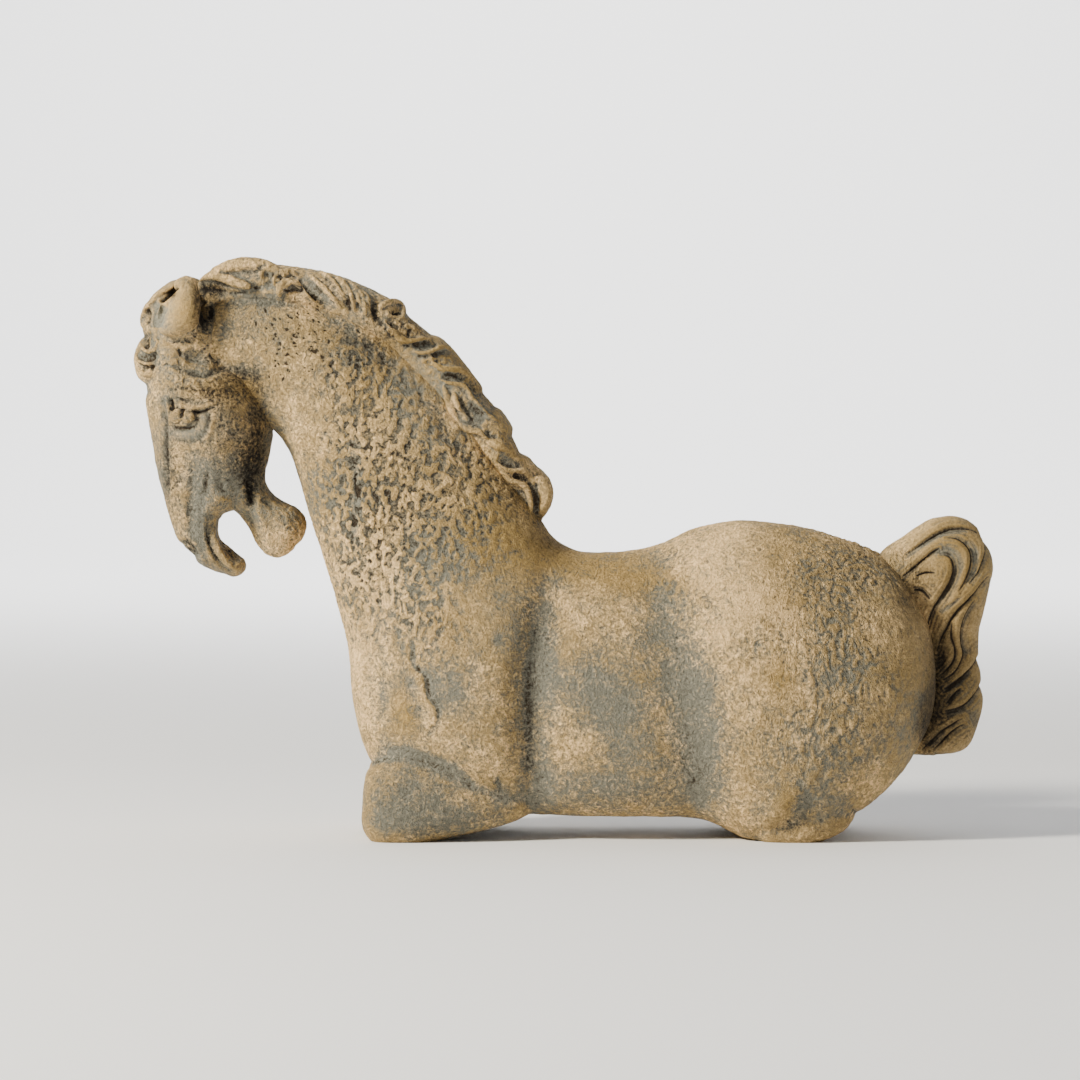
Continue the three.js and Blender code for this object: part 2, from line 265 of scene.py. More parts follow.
HEAD_CARVING = [
    # the groove beside the nose and the folds of the muzzle
    ("groove", 3.0, 1.8, [(163, 398), (164, 412), (165, 430), (165, 446), (166, 462), (167, 480),
        (168, 500)]),
    ("ridge", 4.5, 0.8, [(180, 460), (183, 485), (184, 508), (182, 530)]),
    ("dish", 6.5, 1.2, [(198, 470), (199, 490), (198, 510), (198, 530), (201, 546), (207, 558)]),
    ("groove", 2.8, 1.1, [(191, 466), (191, 485), (190, 505), (189, 524), (190, 534)]),
    ("groove", 3.0, 1.5, [(207, 472), (206, 485), (206.5, 498)]),
    ("groove", 2.6, 2.0, [(212, 511), (209, 523), (209, 536), (212, 549), (218, 560), (227, 570),
        (236, 574)]),
    ("ridge", 2.8, 1.3, [(217, 509), (214, 522), (214, 535), (219, 548), (225, 559), (233, 568)]),
    ("groove", 5.0, 1.9, [(222, 518), (221, 532), (226, 545), (235, 555), (241, 561)]),
    ("pit", 4.6, 2.8, [(185, 543), (189, 548), (194, 555)]),
    ("ridge", 2.4, 1.2, [(185, 536), (191, 540), (197, 547), (201, 556), (207, 564)]),
    ("groove", 3.0, 1.3, [(218, 477), (221, 486), (224, 494)]),
    ("ridge", 4.5, 1.7, [(213, 499), (220, 497), (228, 500)]),
    # the corner of the mouth and the jaw
    ("pit", 4.6, 4.0, [(250, 484), (251, 494), (251, 503)]),
    ("ridge", 4.0, 1.3, [(256, 507), (264, 525), (272, 546)]),
    ("groove", 3.2, 1.6, [(246, 512), (252, 527), (258, 542), (265, 552)]),
    ("groove", 3.6, 1.6, [(261, 498), (269, 504), (277, 510)]),
    ("groove", 4.0, 0.8, [(303, 553), (296, 545), (290, 538)]),
    # between the cheek, the ear and the forelock
    ("groove", 5.0, 2.0, [(210, 352), (220, 364), (236, 370), (250, 378), (264, 392), (272, 412),
        (278, 436)]),
    ("pit", 9.0, 1.0, [(191, 356), (200, 364)]),
    ("pit", 2.6, 1.6, [(179, 350), (181, 354)]),
    ("groove", 6.5, 4.2, [(209, 282), (210, 298), (208, 316), (204, 334)]),
    ("groove", 3.0, 1.5, [(164, 339), (173, 342), (187, 340), (198, 334)]),
    ("groove", 2.4, 0.9, [(168, 391), (180, 388), (196, 390), (210, 392)]),
    ("pit", 5.0, 1.3, [(143, 384), (145, 392)]),
    # the fringe over the brow
    ("ridge", 3.6, 1.3, [(160, 352), (170, 357), (182, 361), (194, 366), (206, 367), (217, 362)]),
    ("groove", 3.2, 1.8, [(174, 366), (188, 371), (203, 375), (215, 371), (227, 366)]),
    ("ridge", 3.0, 0.9, [(158, 346), (172, 345), (188, 348), (204, 345)]),
    # the hollows between the strands of the forelock
    ("pit", 1.9, 2.6, [(176, 288), (170, 294), (163, 300)]),
    ("dish", 5.6, 2.3, [(162, 304), (157, 314), (156, 328)]),
    ("ridge", 2.0, 1.2, [(160, 304), (159, 312), (156, 318)]),
    ("pit", 2.6, 2.2, [(148, 311), (147, 321)]),
    ("dish", 3.2, 1.6, [(149, 342), (154, 341)]),
    ("pit", 2.4, 2.2, [(146, 340), (147, 346)]),
    ("dish", 3.2, 2.2, [(138, 352), (144, 357), (151, 358), (158, 354)]),
    ("groove", 2.4, 1.4, [(138, 364), (147, 368), (156, 366)]),
    ("groove", 3.0, 1.5, [(139, 335), (146, 336), (154, 334)]),
]
EYE_SOCKET = [
    ("pit", 12, 1.2, [(181, 414), (191, 415)]),
    ("pit", 2.4, 2.2, [(170.5, 401), (171.5, 409)]),
    ("groove", 3.0, 1.1, [(175, 397), (183, 400), (194, 402)]),
    ("pit", 3.0, 1.8, [(196, 413), (196, 420)]),
    ("ridge", 2.2, 1.0, [(167, 396), (167.5, 406), (169, 416), (170, 425)]),
]
# The swellings of the eyeball: centre and half size in pixels, height in millimetres.
EYEBALLS = [(176, 416, 6.6, 7.5, 2.4), (187.5, 416.5, 6.2, 7.0, 1.9), (182, 422.5, 9.0, 4.4, 1.2)]
LIDS = [
    ("ridge", 2.2, 1.9, [(178, 400), (183, 405), (190, 407.5), (198, 407), (205, 406), (211, 401)]),
    ("ridge", 1.9, 1.0, [(206, 406), (211, 405), (217, 403)]),
    ("groove", 1.6, 1.6, [(184, 411.5), (194, 412), (203, 411.5), (211, 408)]),
    ("pit", 1.8, 1.6, [(182, 410), (181.5, 416)]),
    ("groove", 2.0, 1.3, [(169, 425), (176, 428), (184, 429), (193, 427), (199, 421)]),
    ("ridge", 3.6, 0.9, [(171, 433), (184, 435), (194, 433), (201, 427), (203.5, 418), (203, 411)]),
    ("groove", 2.6, 0.6, [(171, 440), (186, 442), (199, 439), (207, 431), (208.5, 420), (208, 412)]),
    ("ridge", 2.8, 1.0, [(212, 408), (213, 420), (210, 431), (204, 440)]),
]

# Strands laid on a form, as (radius in pixels, line in pixels of the photograph).
FORELOCK_STRANDS = [
    (3.4, [(181, 284), (174, 287), (167, 290), (160, 294), (153, 301), (147, 308), (143, 316), (142, 324),
        (146, 331)]),
    (1.6, [(158, 299), (160, 305), (158, 311), (155, 316)]),
    (1.6, [(147, 329), (150, 334), (149, 339)]),
    (2.7, [(145, 338), (141, 343), (143, 349), (149, 352), (155, 349), (158, 343), (156, 339)]),
    (2.9, [(135, 353), (138, 360), (144, 363), (151, 363), (158, 361), (168, 359), (179, 356)]),
    (2.8, [(137, 366), (142, 373), (150, 374), (157, 370), (161, 366)]),
    (2.4, [(201, 332), (197, 339), (191, 343), (184, 344), (178, 348), (178, 352), (181, 358)]),
    (2.8, [(154, 385), (162, 380), (173, 377), (183, 380)]),
    (2.8, [(188, 382), (199, 380), (210, 382), (218, 388)]),
]

MANE_STRANDS = [
    (5.2, [(198, 281), (212, 277), (228, 280), (243, 285), (254, 288)]),
    (8.0, [(205, 278), (222, 269), (240, 265), (256, 265), (270, 268), (280, 272)]),
    (3.0, [(262, 279), (262, 272), (268, 268)]),
    (4.6, [(272, 286), (277, 277), (287, 272), (297, 275)]),
    (4.4, [(280, 298), (279, 290), (285, 283), (295, 282), (304, 286)]),
    (3.0, [(303, 288), (309, 295), (317, 303)]),
    (3.2, [(306, 272), (314, 279), (324, 289), (334, 299), (342, 309)]),
    (3.2, [(319, 270), (329, 278), (339, 290), (346, 302)]),
    (3.8, [(334, 275), (344, 284), (351, 298), (355, 312)]),
    (4.4, [(348, 281), (357, 291), (363, 304), (366, 316)]),
    (3.2, [(360, 289), (368, 300), (371, 313)]),
    (3.8, [(379, 309), (384, 304), (392, 302), (400, 304), (404, 311), (402, 319)]),
    (3.8, [(384, 321), (390, 328), (396, 334), (402, 340), (411, 342), (422, 339), (431, 337)]),
    (3.2, [(402, 325), (413, 328), (424, 331)]),
    (3.6, [(414, 351), (424, 353), (434, 350), (443, 347), (451, 350)]),
    (3.0, [(422, 362), (430, 358), (438, 359)]),
    (3.8, [(431, 361), (439, 367), (449, 370), (459, 370), (468, 375), (474, 383)]),
    (3.6, [(438, 378), (447, 382), (458, 383), (466, 387), (470, 393), (474, 401), (481, 408), (489, 415),
        (500, 422)]),
    (4.8, [(443, 384), (446, 393), (450, 405), (454, 416), (460, 425), (469, 429), (479, 432), (488, 439)]),
    (3.6, [(453, 393), (457, 402), (461, 412)]),
    (6.0, [(489, 440), (498, 445), (507, 451)]),
    (3.4, [(494, 457), (501, 465), (511, 470), (521, 470), (529, 475), (534, 485)]),
    (4.4, [(501, 472), (510, 480), (519, 482), (527, 488), (531, 498), (531, 508), (528, 517)]),
    (7.0, [(533, 478), (541, 482), (545, 491), (545, 500), (541, 512)]),
]
MANE_HOLLOW = 0.12  # share by which the sides under the strands are drawn in
FORELOCK_HOLLOW = 0.1
STRAND_LIFT = 0.4  # share of its radius by which a strand's middle stands out from the form
MANE_CARVING = [
    ("pit", 6.5, 4.2, [(204, 290), (212, 291), (220, 292)]),
    ("groove", 3.6, 2.2, [(250, 287), (257, 288), (264, 288)]),
    ("groove", 2.8, 1.4, [(222, 293), (236, 294), (249, 293)]),
    ("dish", 4.0, 1.8, [(267, 281), (270, 290)]),
    ("groove", 2.6, 1.3, [(273, 280), (278, 277), (283, 276)]),
    ("groove", 2.6, 1.3, [(258, 270), (262, 266), (267, 264)]),
    ("groove", 3.4, 2.6, [(283, 292), (294, 290), (304, 292)]),
    ("dish", 4.6, 1.6, [(300, 276), (311, 287), (322, 298), (335, 311)]),
    ("groove", 2.2, 1.4, [(298, 281), (307, 290), (318, 301), (328, 311)]),
    ("groove", 2.2, 1.6, [(321, 272), (332, 283), (341, 294), (347, 306), (351, 314)]),
    ("groove", 2.2, 1.6, [(345, 281), (347, 295), (350, 312)]),
    ("groove", 2.2, 1.3, [(356, 286), (361, 299), (362, 313)]),
    ("groove", 3.8, 1.7, [(373, 299), (375, 314), (380, 327)]),
    ("pit", 2.6, 2.2, [(394.5, 312), (398, 312.5)]),
    ("groove", 2.6, 1.1, [(402, 346), (413, 345), (424, 343), (437, 342)]),
    ("dish", 3.4, 1.0, [(412, 347), (425, 347), (438, 346)]),
    ("groove", 2.6, 1.0, [(416, 357), (430, 356), (440, 353), (452, 355)]),
    ("groove", 2.8, 1.1, [(444, 374), (456, 376), (468, 380)]),
    ("dish", 3.4, 1.1, [(440, 376), (454, 378), (466, 381)]),
    ("groove", 3.8, 1.4, [(466, 381), (473, 388), (478, 397)]),
    ("groove", 3.0, 1.7, [(460, 396), (466, 411), (474, 424)]),
    ("dish", 5.6, 1.4, [(469, 400), (477, 412), (485, 422)]),
    ("groove", 3.0, 1.2, [(485, 430), (491, 435), (497, 439)]),
    ("dish", 4.6, 1.8, [(498, 457), (511, 461), (524, 466)]),
    ("groove", 2.4, 1.0, [(497, 460), (505, 465), (515, 466)]),
    ("pit", 3.0, 1.4, [(516, 476), (523, 479)]),
    ("dish", 4.6, 1.4, [(511, 486), (518, 498), (522, 509)]),
    ("groove", 2.6, 1.3, [(525, 480), (532, 488), (535, 497), (536, 508), (535, 518)]),
    ("groove", 3.2, 1.6, [(535, 513), (542, 520)]),
    # the notches of the crest
    ("pit", 7.0, 2.4, [(414, 312), (424, 321), (433, 329)]),
    ("pit", 5.0, 2.6, [(485, 393), (494, 405)]),
    ("pit", 6.0, 3.4, [(515, 436), (524, 449)]),
]

# Grooves between the strands of the tail, as (rise of the strand on the right of the way in
# millimetres, line in pixels of the photograph), and the flat valleys beside them, as (half width in
# pixels, depth in millimetres, line).
TAIL_GROOVES = [
    (-1.5, [(905, 555), (916, 546), (928, 537), (938, 531), (949, 526.5), (960, 526), (971, 528),
        (979, 532)]),
    (1.2, [(976, 530), (984, 537), (987, 545), (987, 553), (984, 562), (979, 573), (970, 584)]),
    (-1.5, [(902, 577), (914, 566.5), (924, 557.5), (932, 551), (940, 547)]),
    (1.4, [(944, 537), (955, 537.5), (964, 542), (970, 549), (972, 557), (971, 566), (968, 575),
        (963, 585), (958, 592)]),
    (1.5, [(939, 555), (946, 555), (951, 558.5), (953, 565), (953, 572), (950, 581), (946, 588),
        (940, 597), (934, 606), (929, 617), (925, 632)]),
    (1.2, [(990, 575), (983, 584), (977, 592), (968, 601), (959, 609), (951, 619), (946, 628), (941, 637),
        (936, 652)]),
    (1.3, [(977, 599), (969, 611), (964, 622), (962, 634), (963, 644), (965, 654), (961, 664), (954, 673),
        (943, 680)]),
    (1.1, [(952, 622), (951, 636), (955, 648), (955, 658), (949, 667), (938, 677)]),
    (1.4, [(982, 652), (976, 664), (967, 674), (956, 682), (944, 689)]),
    (1.4, [(986, 674), (981, 687), (974, 697), (966, 705), (957, 709), (944, 711)]),
    (1.2, [(962, 688), (953, 696), (946, 704)]),
    (1.3, [(964, 718), (951, 726), (941, 732), (931, 740), (921, 751)]),
    (0.9, [(966, 724), (951, 734), (941, 744), (932, 753)]),
    (0.5, [(916, 576), (926, 573), (936, 573)]),
    (0.5, [(913, 590), (922, 592), (930, 600)]),
]
TAIL_VALLEYS = [
    (3.0, 1.3, [(906, 559), (917, 549), (928, 541), (938, 535), (949, 530.5), (960, 530), (969, 532)]),
    (4.6, 1.8, [(930, 560), (936, 553), (945, 550), (955, 553), (960, 562), (958, 575), (952, 588),
        (944, 600), (936, 611)]),
    (2.8, 1.3, [(966, 539), (973, 545), (977, 554), (977, 565), (973, 576), (967, 586)]),
    (3.2, 1.2, [(979, 603), (972, 613), (968, 624), (966, 635), (967, 646), (969, 656)]),
    (2.0, 0.9, [(964, 594), (955, 602), (947, 608), (940, 614)]),
    (3.0, 1.2, [(974, 671), (964, 679), (952, 687), (942, 692)]),
    (3.2, 1.3, [(968, 708), (958, 713), (946, 715)]),
    (4.0, 1.4, [(948, 734), (938, 741), (929, 748)]),
    (5.0, 1.4, [(940, 645), (941, 660), (938, 672)]),
]
TAIL_CUT = (1.4, 0.9)  # width in pixels and depth in millimetres of the floor of each groove
TAIL_SLOPE = (3.8, 2.1)  # the same of the rounding of the strands towards it
TAIL_EDGE = 3.4  # width in pixels of the edge where one strand stands over the next
EDGE_SHARE = 0.75  # of the rises in the table above
HAIR_HEIGHT = 0.3  # of the fine hairs along the strands, in millimetres
HAIR_STEP = 4.2  # from one hair to the next, in pixels
HAIR_REACH = 10  # from the groove, in pixels

# Where the warm clay, the pale clay, the wash and the dark earth gather, as (centre x, centre y, reach
# in x, reach in y, amount), in pixels of the photograph. The pale places also paint light on the lit haunch,
# its crown and the chest. The dark places also paint shade where it falls: behind the ear, under the brow and
# the fringe, on the shaded sides of the ear, the cheek and the tail, along the crest and the mane, and in the
# flank.
WARM_PLACES = [
    (590, 565, 60, 26, 0.9),
    (650, 585, 50, 22, 0.7),
    (470, 500, 60, 50, 0.5),
    (500, 545, 50, 34, 0.9),
    (455, 620, 40, 34, 0.6),
    (405, 715, 20, 24, 0.9),
    (365, 610, 26, 50, 0.4),
    (365, 395, 26, 40, 0.5),
    (640, 680, 26, 14, 0.9),
    (775, 560, 26, 40, 0.5),
    (788, 602, 28, 13, 0.6),
    (778, 678, 20, 24, 0.9),
    (786, 800, 9, 24, 0.7),
    (850, 640, 60, 120, 0.15),
    (902, 665, 22, 44, 0.5),
    (322, 470, 26, 90, 0.3),
    (400, 470, 60, 80, 0.35),
    (430, 350, 60, 40, 0.4),
    (490, 430, 50, 50, 0.3),
    (550, 550, 24, 18, 0.5),
    (955, 560, 40, 60, 0.8),
    (965, 680, 30, 70, 0.7),
    (184, 310, 18, 26, 0.9),
    (235, 385, 40, 16, 0.6),
    (225, 500, 12, 8, 1.0),
    (460, 370, 40, 30, 0.6),
    (400, 340, 20, 10, 0.6),
    (235, 400, 30, 30, 0.4),
    (216, 447, 24, 8, 0.5),
    (256, 440, 14, 50, 0.4),
    (232, 548, 12, 20, 0.6),
    (330, 330, 40, 30, 0.4),
    (520, 440, 30, 40, 0.5),
    (812, 545, 44, 20, 0.3),
]
# Pale clay, and painted light: the places on the lit haunch, its crown and the chest are made paler for the
# light that falls there.
PALE_AND_PAINTED_LIGHT_PLACES = [
    (725, 590, 56, 56, 1.0),
    (700, 540, 60, 16, 0.8),
    (760, 680, 60, 100, 0.4),
    (300, 440, 26, 70, 0.2),
    (330, 560, 34, 70, 0.35),
    (370, 660, 34, 80, 0.95),
    (415, 700, 20, 40, 0.6),
    (425, 540, 50, 60, 0.2),
    (178, 470, 8, 50, 0.2),
    (174, 320, 10, 26, 0.3),
    (270, 540, 20, 20, 0.8),
    (585, 590, 60, 40, 0.5),
    (560, 740, 24, 40, 0.3),
    (230, 268, 30, 10, 0.5),
    (880, 790, 20, 20, 0.3),
    (454, 415, 6, 20, 0.9),
    (850, 640, 60, 100, 0.25),
    (812, 545, 44, 20, 0.5),
]
GREY_PLACES = [
    (600, 700, 60, 44, 0.7),
    (680, 700, 34, 90, 0.6),
    (545, 650, 16, 90, 0.5),
    (600, 790, 80, 28, 1.1),
    (840, 755, 45, 40, 0.4),
    (710, 770, 24, 60, 0.6),
    (455, 690, 44, 40, 0.7),
    (390, 625, 16, 20, 0.5),
    (420, 750, 50, 12, 0.6),
    (382, 690, 5, 50, 0.6),
    (355, 500, 5, 60, 0.6),
    (420, 590, 44, 26, 0.4),
    (445, 540, 40, 40, 0.4),
    (415, 390, 30, 44, 0.5),
    (460, 440, 30, 40, 0.5),
    (310, 500, 16, 60, 0.3),
    (430, 800, 60, 30, 0.4),
    (480, 800, 40, 30, 0.5),
    (430, 824, 80, 14, 0.7),
    (832, 676, 40, 22, 0.5),
    (806, 742, 18, 26, 0.45),
    (704, 690, 26, 60, 0.5),
    (706, 575, 14, 9, 0.5),
    (759, 640, 4, 22, 0.7),
    (680, 560, 26, 12, 0.4),
    (205, 480, 24, 26, 0.7),
    (232, 478, 26, 18, 0.8),
    (230, 430, 20, 20, 0.25),
    (198, 530, 9, 44, 0.9),
    (185, 434, 18, 6, 0.8),
    (203, 421, 5, 13, 0.7),
    (166, 445, 5, 50, 0.6),
    (225, 425, 26, 26, 0.3),
    (212, 445, 36, 44, 0.1),
    (815, 800, 26, 14, 0.8),
    (420, 800, 40, 24, 0.35),
    (936, 600, 10, 30, 0.4),
    (955, 690, 16, 20, 0.5),
    (640, 620, 30, 24, 0.4),
    (620, 690, 60, 20, 0.3),
    (360, 352, 26, 18, 0.5),
    (172, 400, 10, 6, 0.7),
    (195, 360, 14, 12, 0.5),
    (203, 373, 24, 5, 0.9),
    (158, 320, 8, 24, 0.8),
    (146, 388, 8, 10, 0.9),
    (215, 330, 12, 22, 0.6),
    (245, 362, 30, 12, 0.4),
    (270, 300, 70, 6, 0.4),
    (330, 318, 20, 8, 0.6),
    (352, 330, 16, 12, 0.5),
    (386, 322, 7, 9, 0.8),
    (475, 410, 9, 14, 0.8),
    (445, 392, 4, 14, 0.8),
    (240, 276, 12, 5, 0.7),
    (208, 280, 9, 4, 0.7),
]
# Dark earth, and painted shade: most of these places darken where shade falls, such as the black hollow
# behind the ear, the brow under the fringe, the shaded sides of the ear, cheek and tail, the crest and the
# mane.
EARTH_AND_PAINTED_SHADE_PLACES = [
    (259, 425, 9, 40, 0.8),
    (252, 464, 13, 22, 1.1),
    (238, 470, 24, 14, 0.4),
    (228, 415, 40, 50, 0.7),
    (215, 391, 32, 8, 0.6),
    (250, 492, 6, 14, 1.0),
    (207, 312, 7, 22, 1.0),
    (212, 290, 12, 8, 1.3),
    (196, 308, 6, 26, 0.9),
    (170, 294, 7, 5, 1.4),
    (214, 358, 8, 10, 0.7),
    (242, 376, 22, 9, 0.6),
    (234, 322, 24, 30, 0.4),
    (270, 302, 60, 6, 0.4),
    (171, 405, 3, 6, 0.4),
    (232, 550, 8, 16, 0.7),
    (190, 549, 6, 8, 0.8),
    (168, 475, 20, 60, 0.6),
    (362, 350, 46, 34, 0.55),
    (395, 475, 60, 70, 0.3),
    (552, 550, 26, 18, 0.6),
    (526, 720, 8, 90, 0.25),
    (687, 772, 22, 36, 0.4),
    (895, 650, 30, 90, 0.25),
    (962, 620, 38, 150, 0.7),
    (955, 712, 34, 50, 0.5),
    (920, 590, 18, 40, 0.3),
    (925, 732, 12, 36, 0.9),
    (939, 675, 14, 60, 0.9),
    (908, 592, 12, 28, 0.5),
    (545, 535, 26, 14, 0.5),
    (540, 520, 12, 7, 0.7),
    (515, 497, 5, 10, 0.6),
    (480, 388, 7, 9, 0.5),
    (470, 414, 5, 16, 0.3),
    (400, 335, 90, 60, 0.15),
    (420, 800, 60, 40, 0.3),
    (460, 835, 60, 8, 0.4),
    (820, 826, 40, 10, 0.4),
    (375, 314, 4, 9, 0.6),
    (265, 275, 30, 9, 0.45),
    (398, 330, 26, 20, 0.45),
    (468, 416, 22, 28, 0.4),
    (514, 480, 20, 28, 0.5),
]

# Where the skin of the clay is flaky, wrinkled, smooth or lumpy.
FLAKY_PLACES = [
    (372, 420, 46, 80, 1.0),
    (430, 500, 70, 70, 1.0),
    (380, 560, 50, 60, 1.0),
    (428, 620, 30, 40, 0.9),
    (345, 500, 30, 90, 0.6),
    (345, 620, 26, 50, 0.3),
    (340, 375, 18, 24, 0.6),
    (480, 475, 36, 40, 0.5),
    (690, 580, 40, 60, 0.3),
]
WRINKLED_PLACES = [
    (790, 620, 50, 80, 0.8),
    (855, 640, 60, 110, 1.0),
    (850, 565, 46, 34, 0.8),
    (800, 740, 70, 60, 0.7),
    (560, 620, 60, 50, 0.3),
]
SMOOTH_PLACES = [
    (180, 306, 22, 28, 1.0),
    (185, 434, 18, 6, 0.7),
    (204, 421, 6, 14, 0.7),
    (415, 375, 30, 40, 0.6),
    (550, 545, 40, 30, 0.4),
    (160, 460, 6, 80, 0.5),
    (950, 640, 70, 170, 1.0),
    (460, 600, 40, 30, 0.4),
    (740, 560, 40, 40, 0.3),
    (158, 320, 8, 24, 0.6),
    (458, 420, 12, 16, 0.6),
]
LUMPY_PLACES = [
    (168, 364, 20, 8, 1.0),
    (187, 382, 36, 6, 1.0),
    (200, 346, 10, 8, 0.6),
    (285, 281, 16, 12, 0.9),
    (392, 326, 12, 10, 0.9),
    (408, 330, 10, 10, 0.7),
    (434, 361, 14, 6, 0.9),
    (500, 446, 14, 10, 0.6),
    (360, 300, 14, 14, 0.5),
    (292, 525, 14, 16, 0.7),
    (232, 490, 16, 12, 0.7),
]

# The marks of a pointed tool on the neck: where they are, how many, their half length and half width in
# pixels, their slant and its spread in radians, and their depth in millimetres.
PIT_PLACES = [(296, 332, 16, 16), (280, 356, 9, 16), (314, 350, 10, 16)]
PIT_COUNTS = (40, 22, 26)
PIT_SIZE = (2.3, 0.95)
PIT_SLANT = (0.8, 0.6)
PIT_DEPTH = 1.0
PIT_SPREAD = (0.6, 1.2)  # least and most share of a mark's size

MOST_STAIN_AND_PAINTED_LIGHT = 1.5  # to which the clay colours, wash, earth and painted light and shade of a place add up at most
# A carving's line holds as much wash, and in a pit or a groove as much dark earth with painted shade, as this
# share of its depth in millimetres for its width in pixels.
WASH_SHARE = 1.6
EARTH_AND_SHADE_SHARE = 0.75

# The skin of the clay: heights in millimetres, sizes of the noise that shapes it in millimetres, and
# how far that noise is stretched from top to bottom.
PLATE_HEIGHT = 0.44  # of the plates on the neck, up and down from the mean
PLATE_EDGE = 4  # steepness of their edges
PLATE_SIZE = 3.6
PLATE_STRETCH = 1.4
PLATE_WARP = 1.2
PLATE_WARP_SIZE = 2.8
WRINKLE_HEIGHT = 0.7  # of the wrinkles on the haunch
WRINKLE_SIZE = 4.6
WRINKLE_STRETCH = 2.2
WRINKLE_CRACK = 0.6  # by which the folds are lowered, so only cracks stay below
LUMP_HEIGHT = 0.8  # of the crumbs that are pressed on
LUMP_EDGE = 3
LUMP_SIZE = 3.6
# The unevenness of each piece, as (height, size, seed, layers).
BODY_UNEVEN = [(0.5, 34, 11, 3), (0.2, 7, 12, 3)]
HEAD_UNEVEN = [(0.3, 14, 21, 3), (0.16, 2.6, 22, 2)]
MANE_UNEVEN = [(0.25, 9, 31, 3), (0.2, 2.6, 32, 2)]
TAIL_UNEVEN = [(0.2, 9, 61, 3)]

# Rounds of smoothing over a mesh: of its normals, of its stains, and for the mean surface that the fine
# and the broad recesses are measured from.
NORMAL_ROUNDS = 3
STAIN_ROUNDS = 2
FINE_ROUNDS = 8
BROAD_ROUNDS = 60

# How the lofts are shaped: how far the trunk is thinned towards its top, how far a form is squared
# off, the half width from which the belly is at its fullest and the one from which masses and hollows
# have their full height, and how far the legs, feet and ears stand out from the middle.
TRUNK_LEAN = 0.16
BELLY_FULLNESS = 0.62
BELLY_HALF = 450
FORELEG_FULLNESS = 0.45
HIND_FOOT_FULLNESS = 0.4
SKULL_FULLNESS = 0.12
RELIEF_HALF = 180
FORELEG_MIDDLE = 240
HIND_FOOT_MIDDLE = 290
EAR_MIDDLE = 158

STRAND_BLUNTNESS = 0.5  # power of the sine by which a strand swells from its ends
STRAND_WINDOW = 13  # points over which the depth under a strand is evened out
LINE_REACH = 5  # widths of a carved line past which its profile is nought
LINE_FADE = 0.6  # power by which a line dies out towards its ends

# Finish of the surfaces: voxel sizes in millimetres, and the most triangles that a piece keeps.
BODY_VOXEL = 1.02
HEAD_VOXEL = 0.45
MANE_VOXEL = 0.6
TAIL_VOXEL = 0.55
MOST_TRIANGLES = 196000
RINGS = 240
SIDES = 160

# The stage, in metres: the floor's side, where it bends up behind the figure, and the bend's radius.
FLOOR_SIZE = 22
FLOOR_BEND = 4
SWEEP = 2
FLOOR_COLOUR = (0.93, 0.93, 0.93, 1)
FLOOR_ROUGHNESS = 0.9
# The area lights, as (name, place, target, side, power in watts, colour). The key stands to the left.
LIGHTS = [
    ("key", (-2.12, -1.12, 1.6), TARGET, 0.45, 156, (1.0, 0.94, 0.81)),
    ("fill", (1.2, -2.4, 0.6), TARGET, 1.5, 4.5, (0.95, 0.97, 1.0)),
    ("backdrop light", (0, 3.2, 3.0), (0, FLOOR_BEND + SWEEP, 0.5), 3, 320, (1, 1, 1)),
]
# The surroundings grow brighter from the viewer's side to the far side: between which shares of the
# direction's Y, and from which strength to which.
SKY_REACH = (-0.2, 0.8)
SKY_STRENGTH = (0.24, 1.6)


class HorseSizes(bpy.types.PropertyGroup):
    """Overall sizes of the figure, and how strongly it is carved."""

    length: bpy.props.FloatProperty(
        name="Length", description="From the forelock to the back of the tail", default=0.5,
        min=0.1, subtype="DISTANCE", unit="LENGTH")
    body_width: bpy.props.FloatProperty(
        name="Body width", description="Over the haunches", default=0.145,
        min=0.03, subtype="DISTANCE", unit="LENGTH")
    carving: bpy.props.FloatProperty(
        name="Carving", description="Depth of the carving, as a share of the modelled depth", default=1,
        min=0, max=2, subtype="FACTOR")


class ClayFinish(bpy.types.PropertyGroup):
    """Colours of the fired clay and of what has settled on it. The pale clay and the earth also serve as
    painted light and painted shade.
    """

    clay: bpy.props.FloatVectorProperty(
        name="Clay", description="Tan of the bare clay", default=(0.43, 0.298, 0.130),
        min=0, max=1, subtype="COLOR")
    # The pale clay is also laid on as painted light where the key light falls on the haunch, its crown and
    # the chest.
    pale: bpy.props.FloatVectorProperty(
        name="Pale clay", description="Rubbed and chalky places", default=(0.88, 0.60, 0.285),
        min=0, max=1, subtype="COLOR")
    warm: bpy.props.FloatVectorProperty(
        name="Warm clay", description="Ochre places along the back and on the tail",
        default=(0.38, 0.250, 0.086), min=0, max=1, subtype="COLOR")
    wash: bpy.props.FloatVectorProperty(
        name="Wash", description="Blue grey slip that is left in the low places",
        default=(0.210, 0.207, 0.165), min=0, max=1, subtype="COLOR")
    # The earth is also laid in as painted shade, black in the hollow behind the ear.
    earth: bpy.props.FloatVectorProperty(
        name="Earth", description="Dark earth in the grooves", default=(0.050, 0.031, 0.014),
        min=0, max=1, subtype="COLOR")


def curve_points(points, shares):
    """Points of a smooth curve at shares of its way. Each span is a cubic through its two ends, whose
    slope at an end is half the step between that end's neighbours. Past the first and last point the
    curve is taken to go on by the same step."""
    points = np.asarray(points, float)
    padded = np.vstack([2 * points[0] - points[1], points, 2 * points[-1] - points[-2]])
    place = np.clip(shares, 0, 1) * (len(points) - 1)
    span = np.minimum(place.astype(int), len(points) - 2)
    t = (place - span)[..., None]
    before, start, end, after = (padded[span + k] for k in range(4))
    bend = 2 * before - 5 * start + 4 * end - after
    return start + 0.5 * t * (end - before + t * (bend + t * (3 * (start - end) + after - before)))


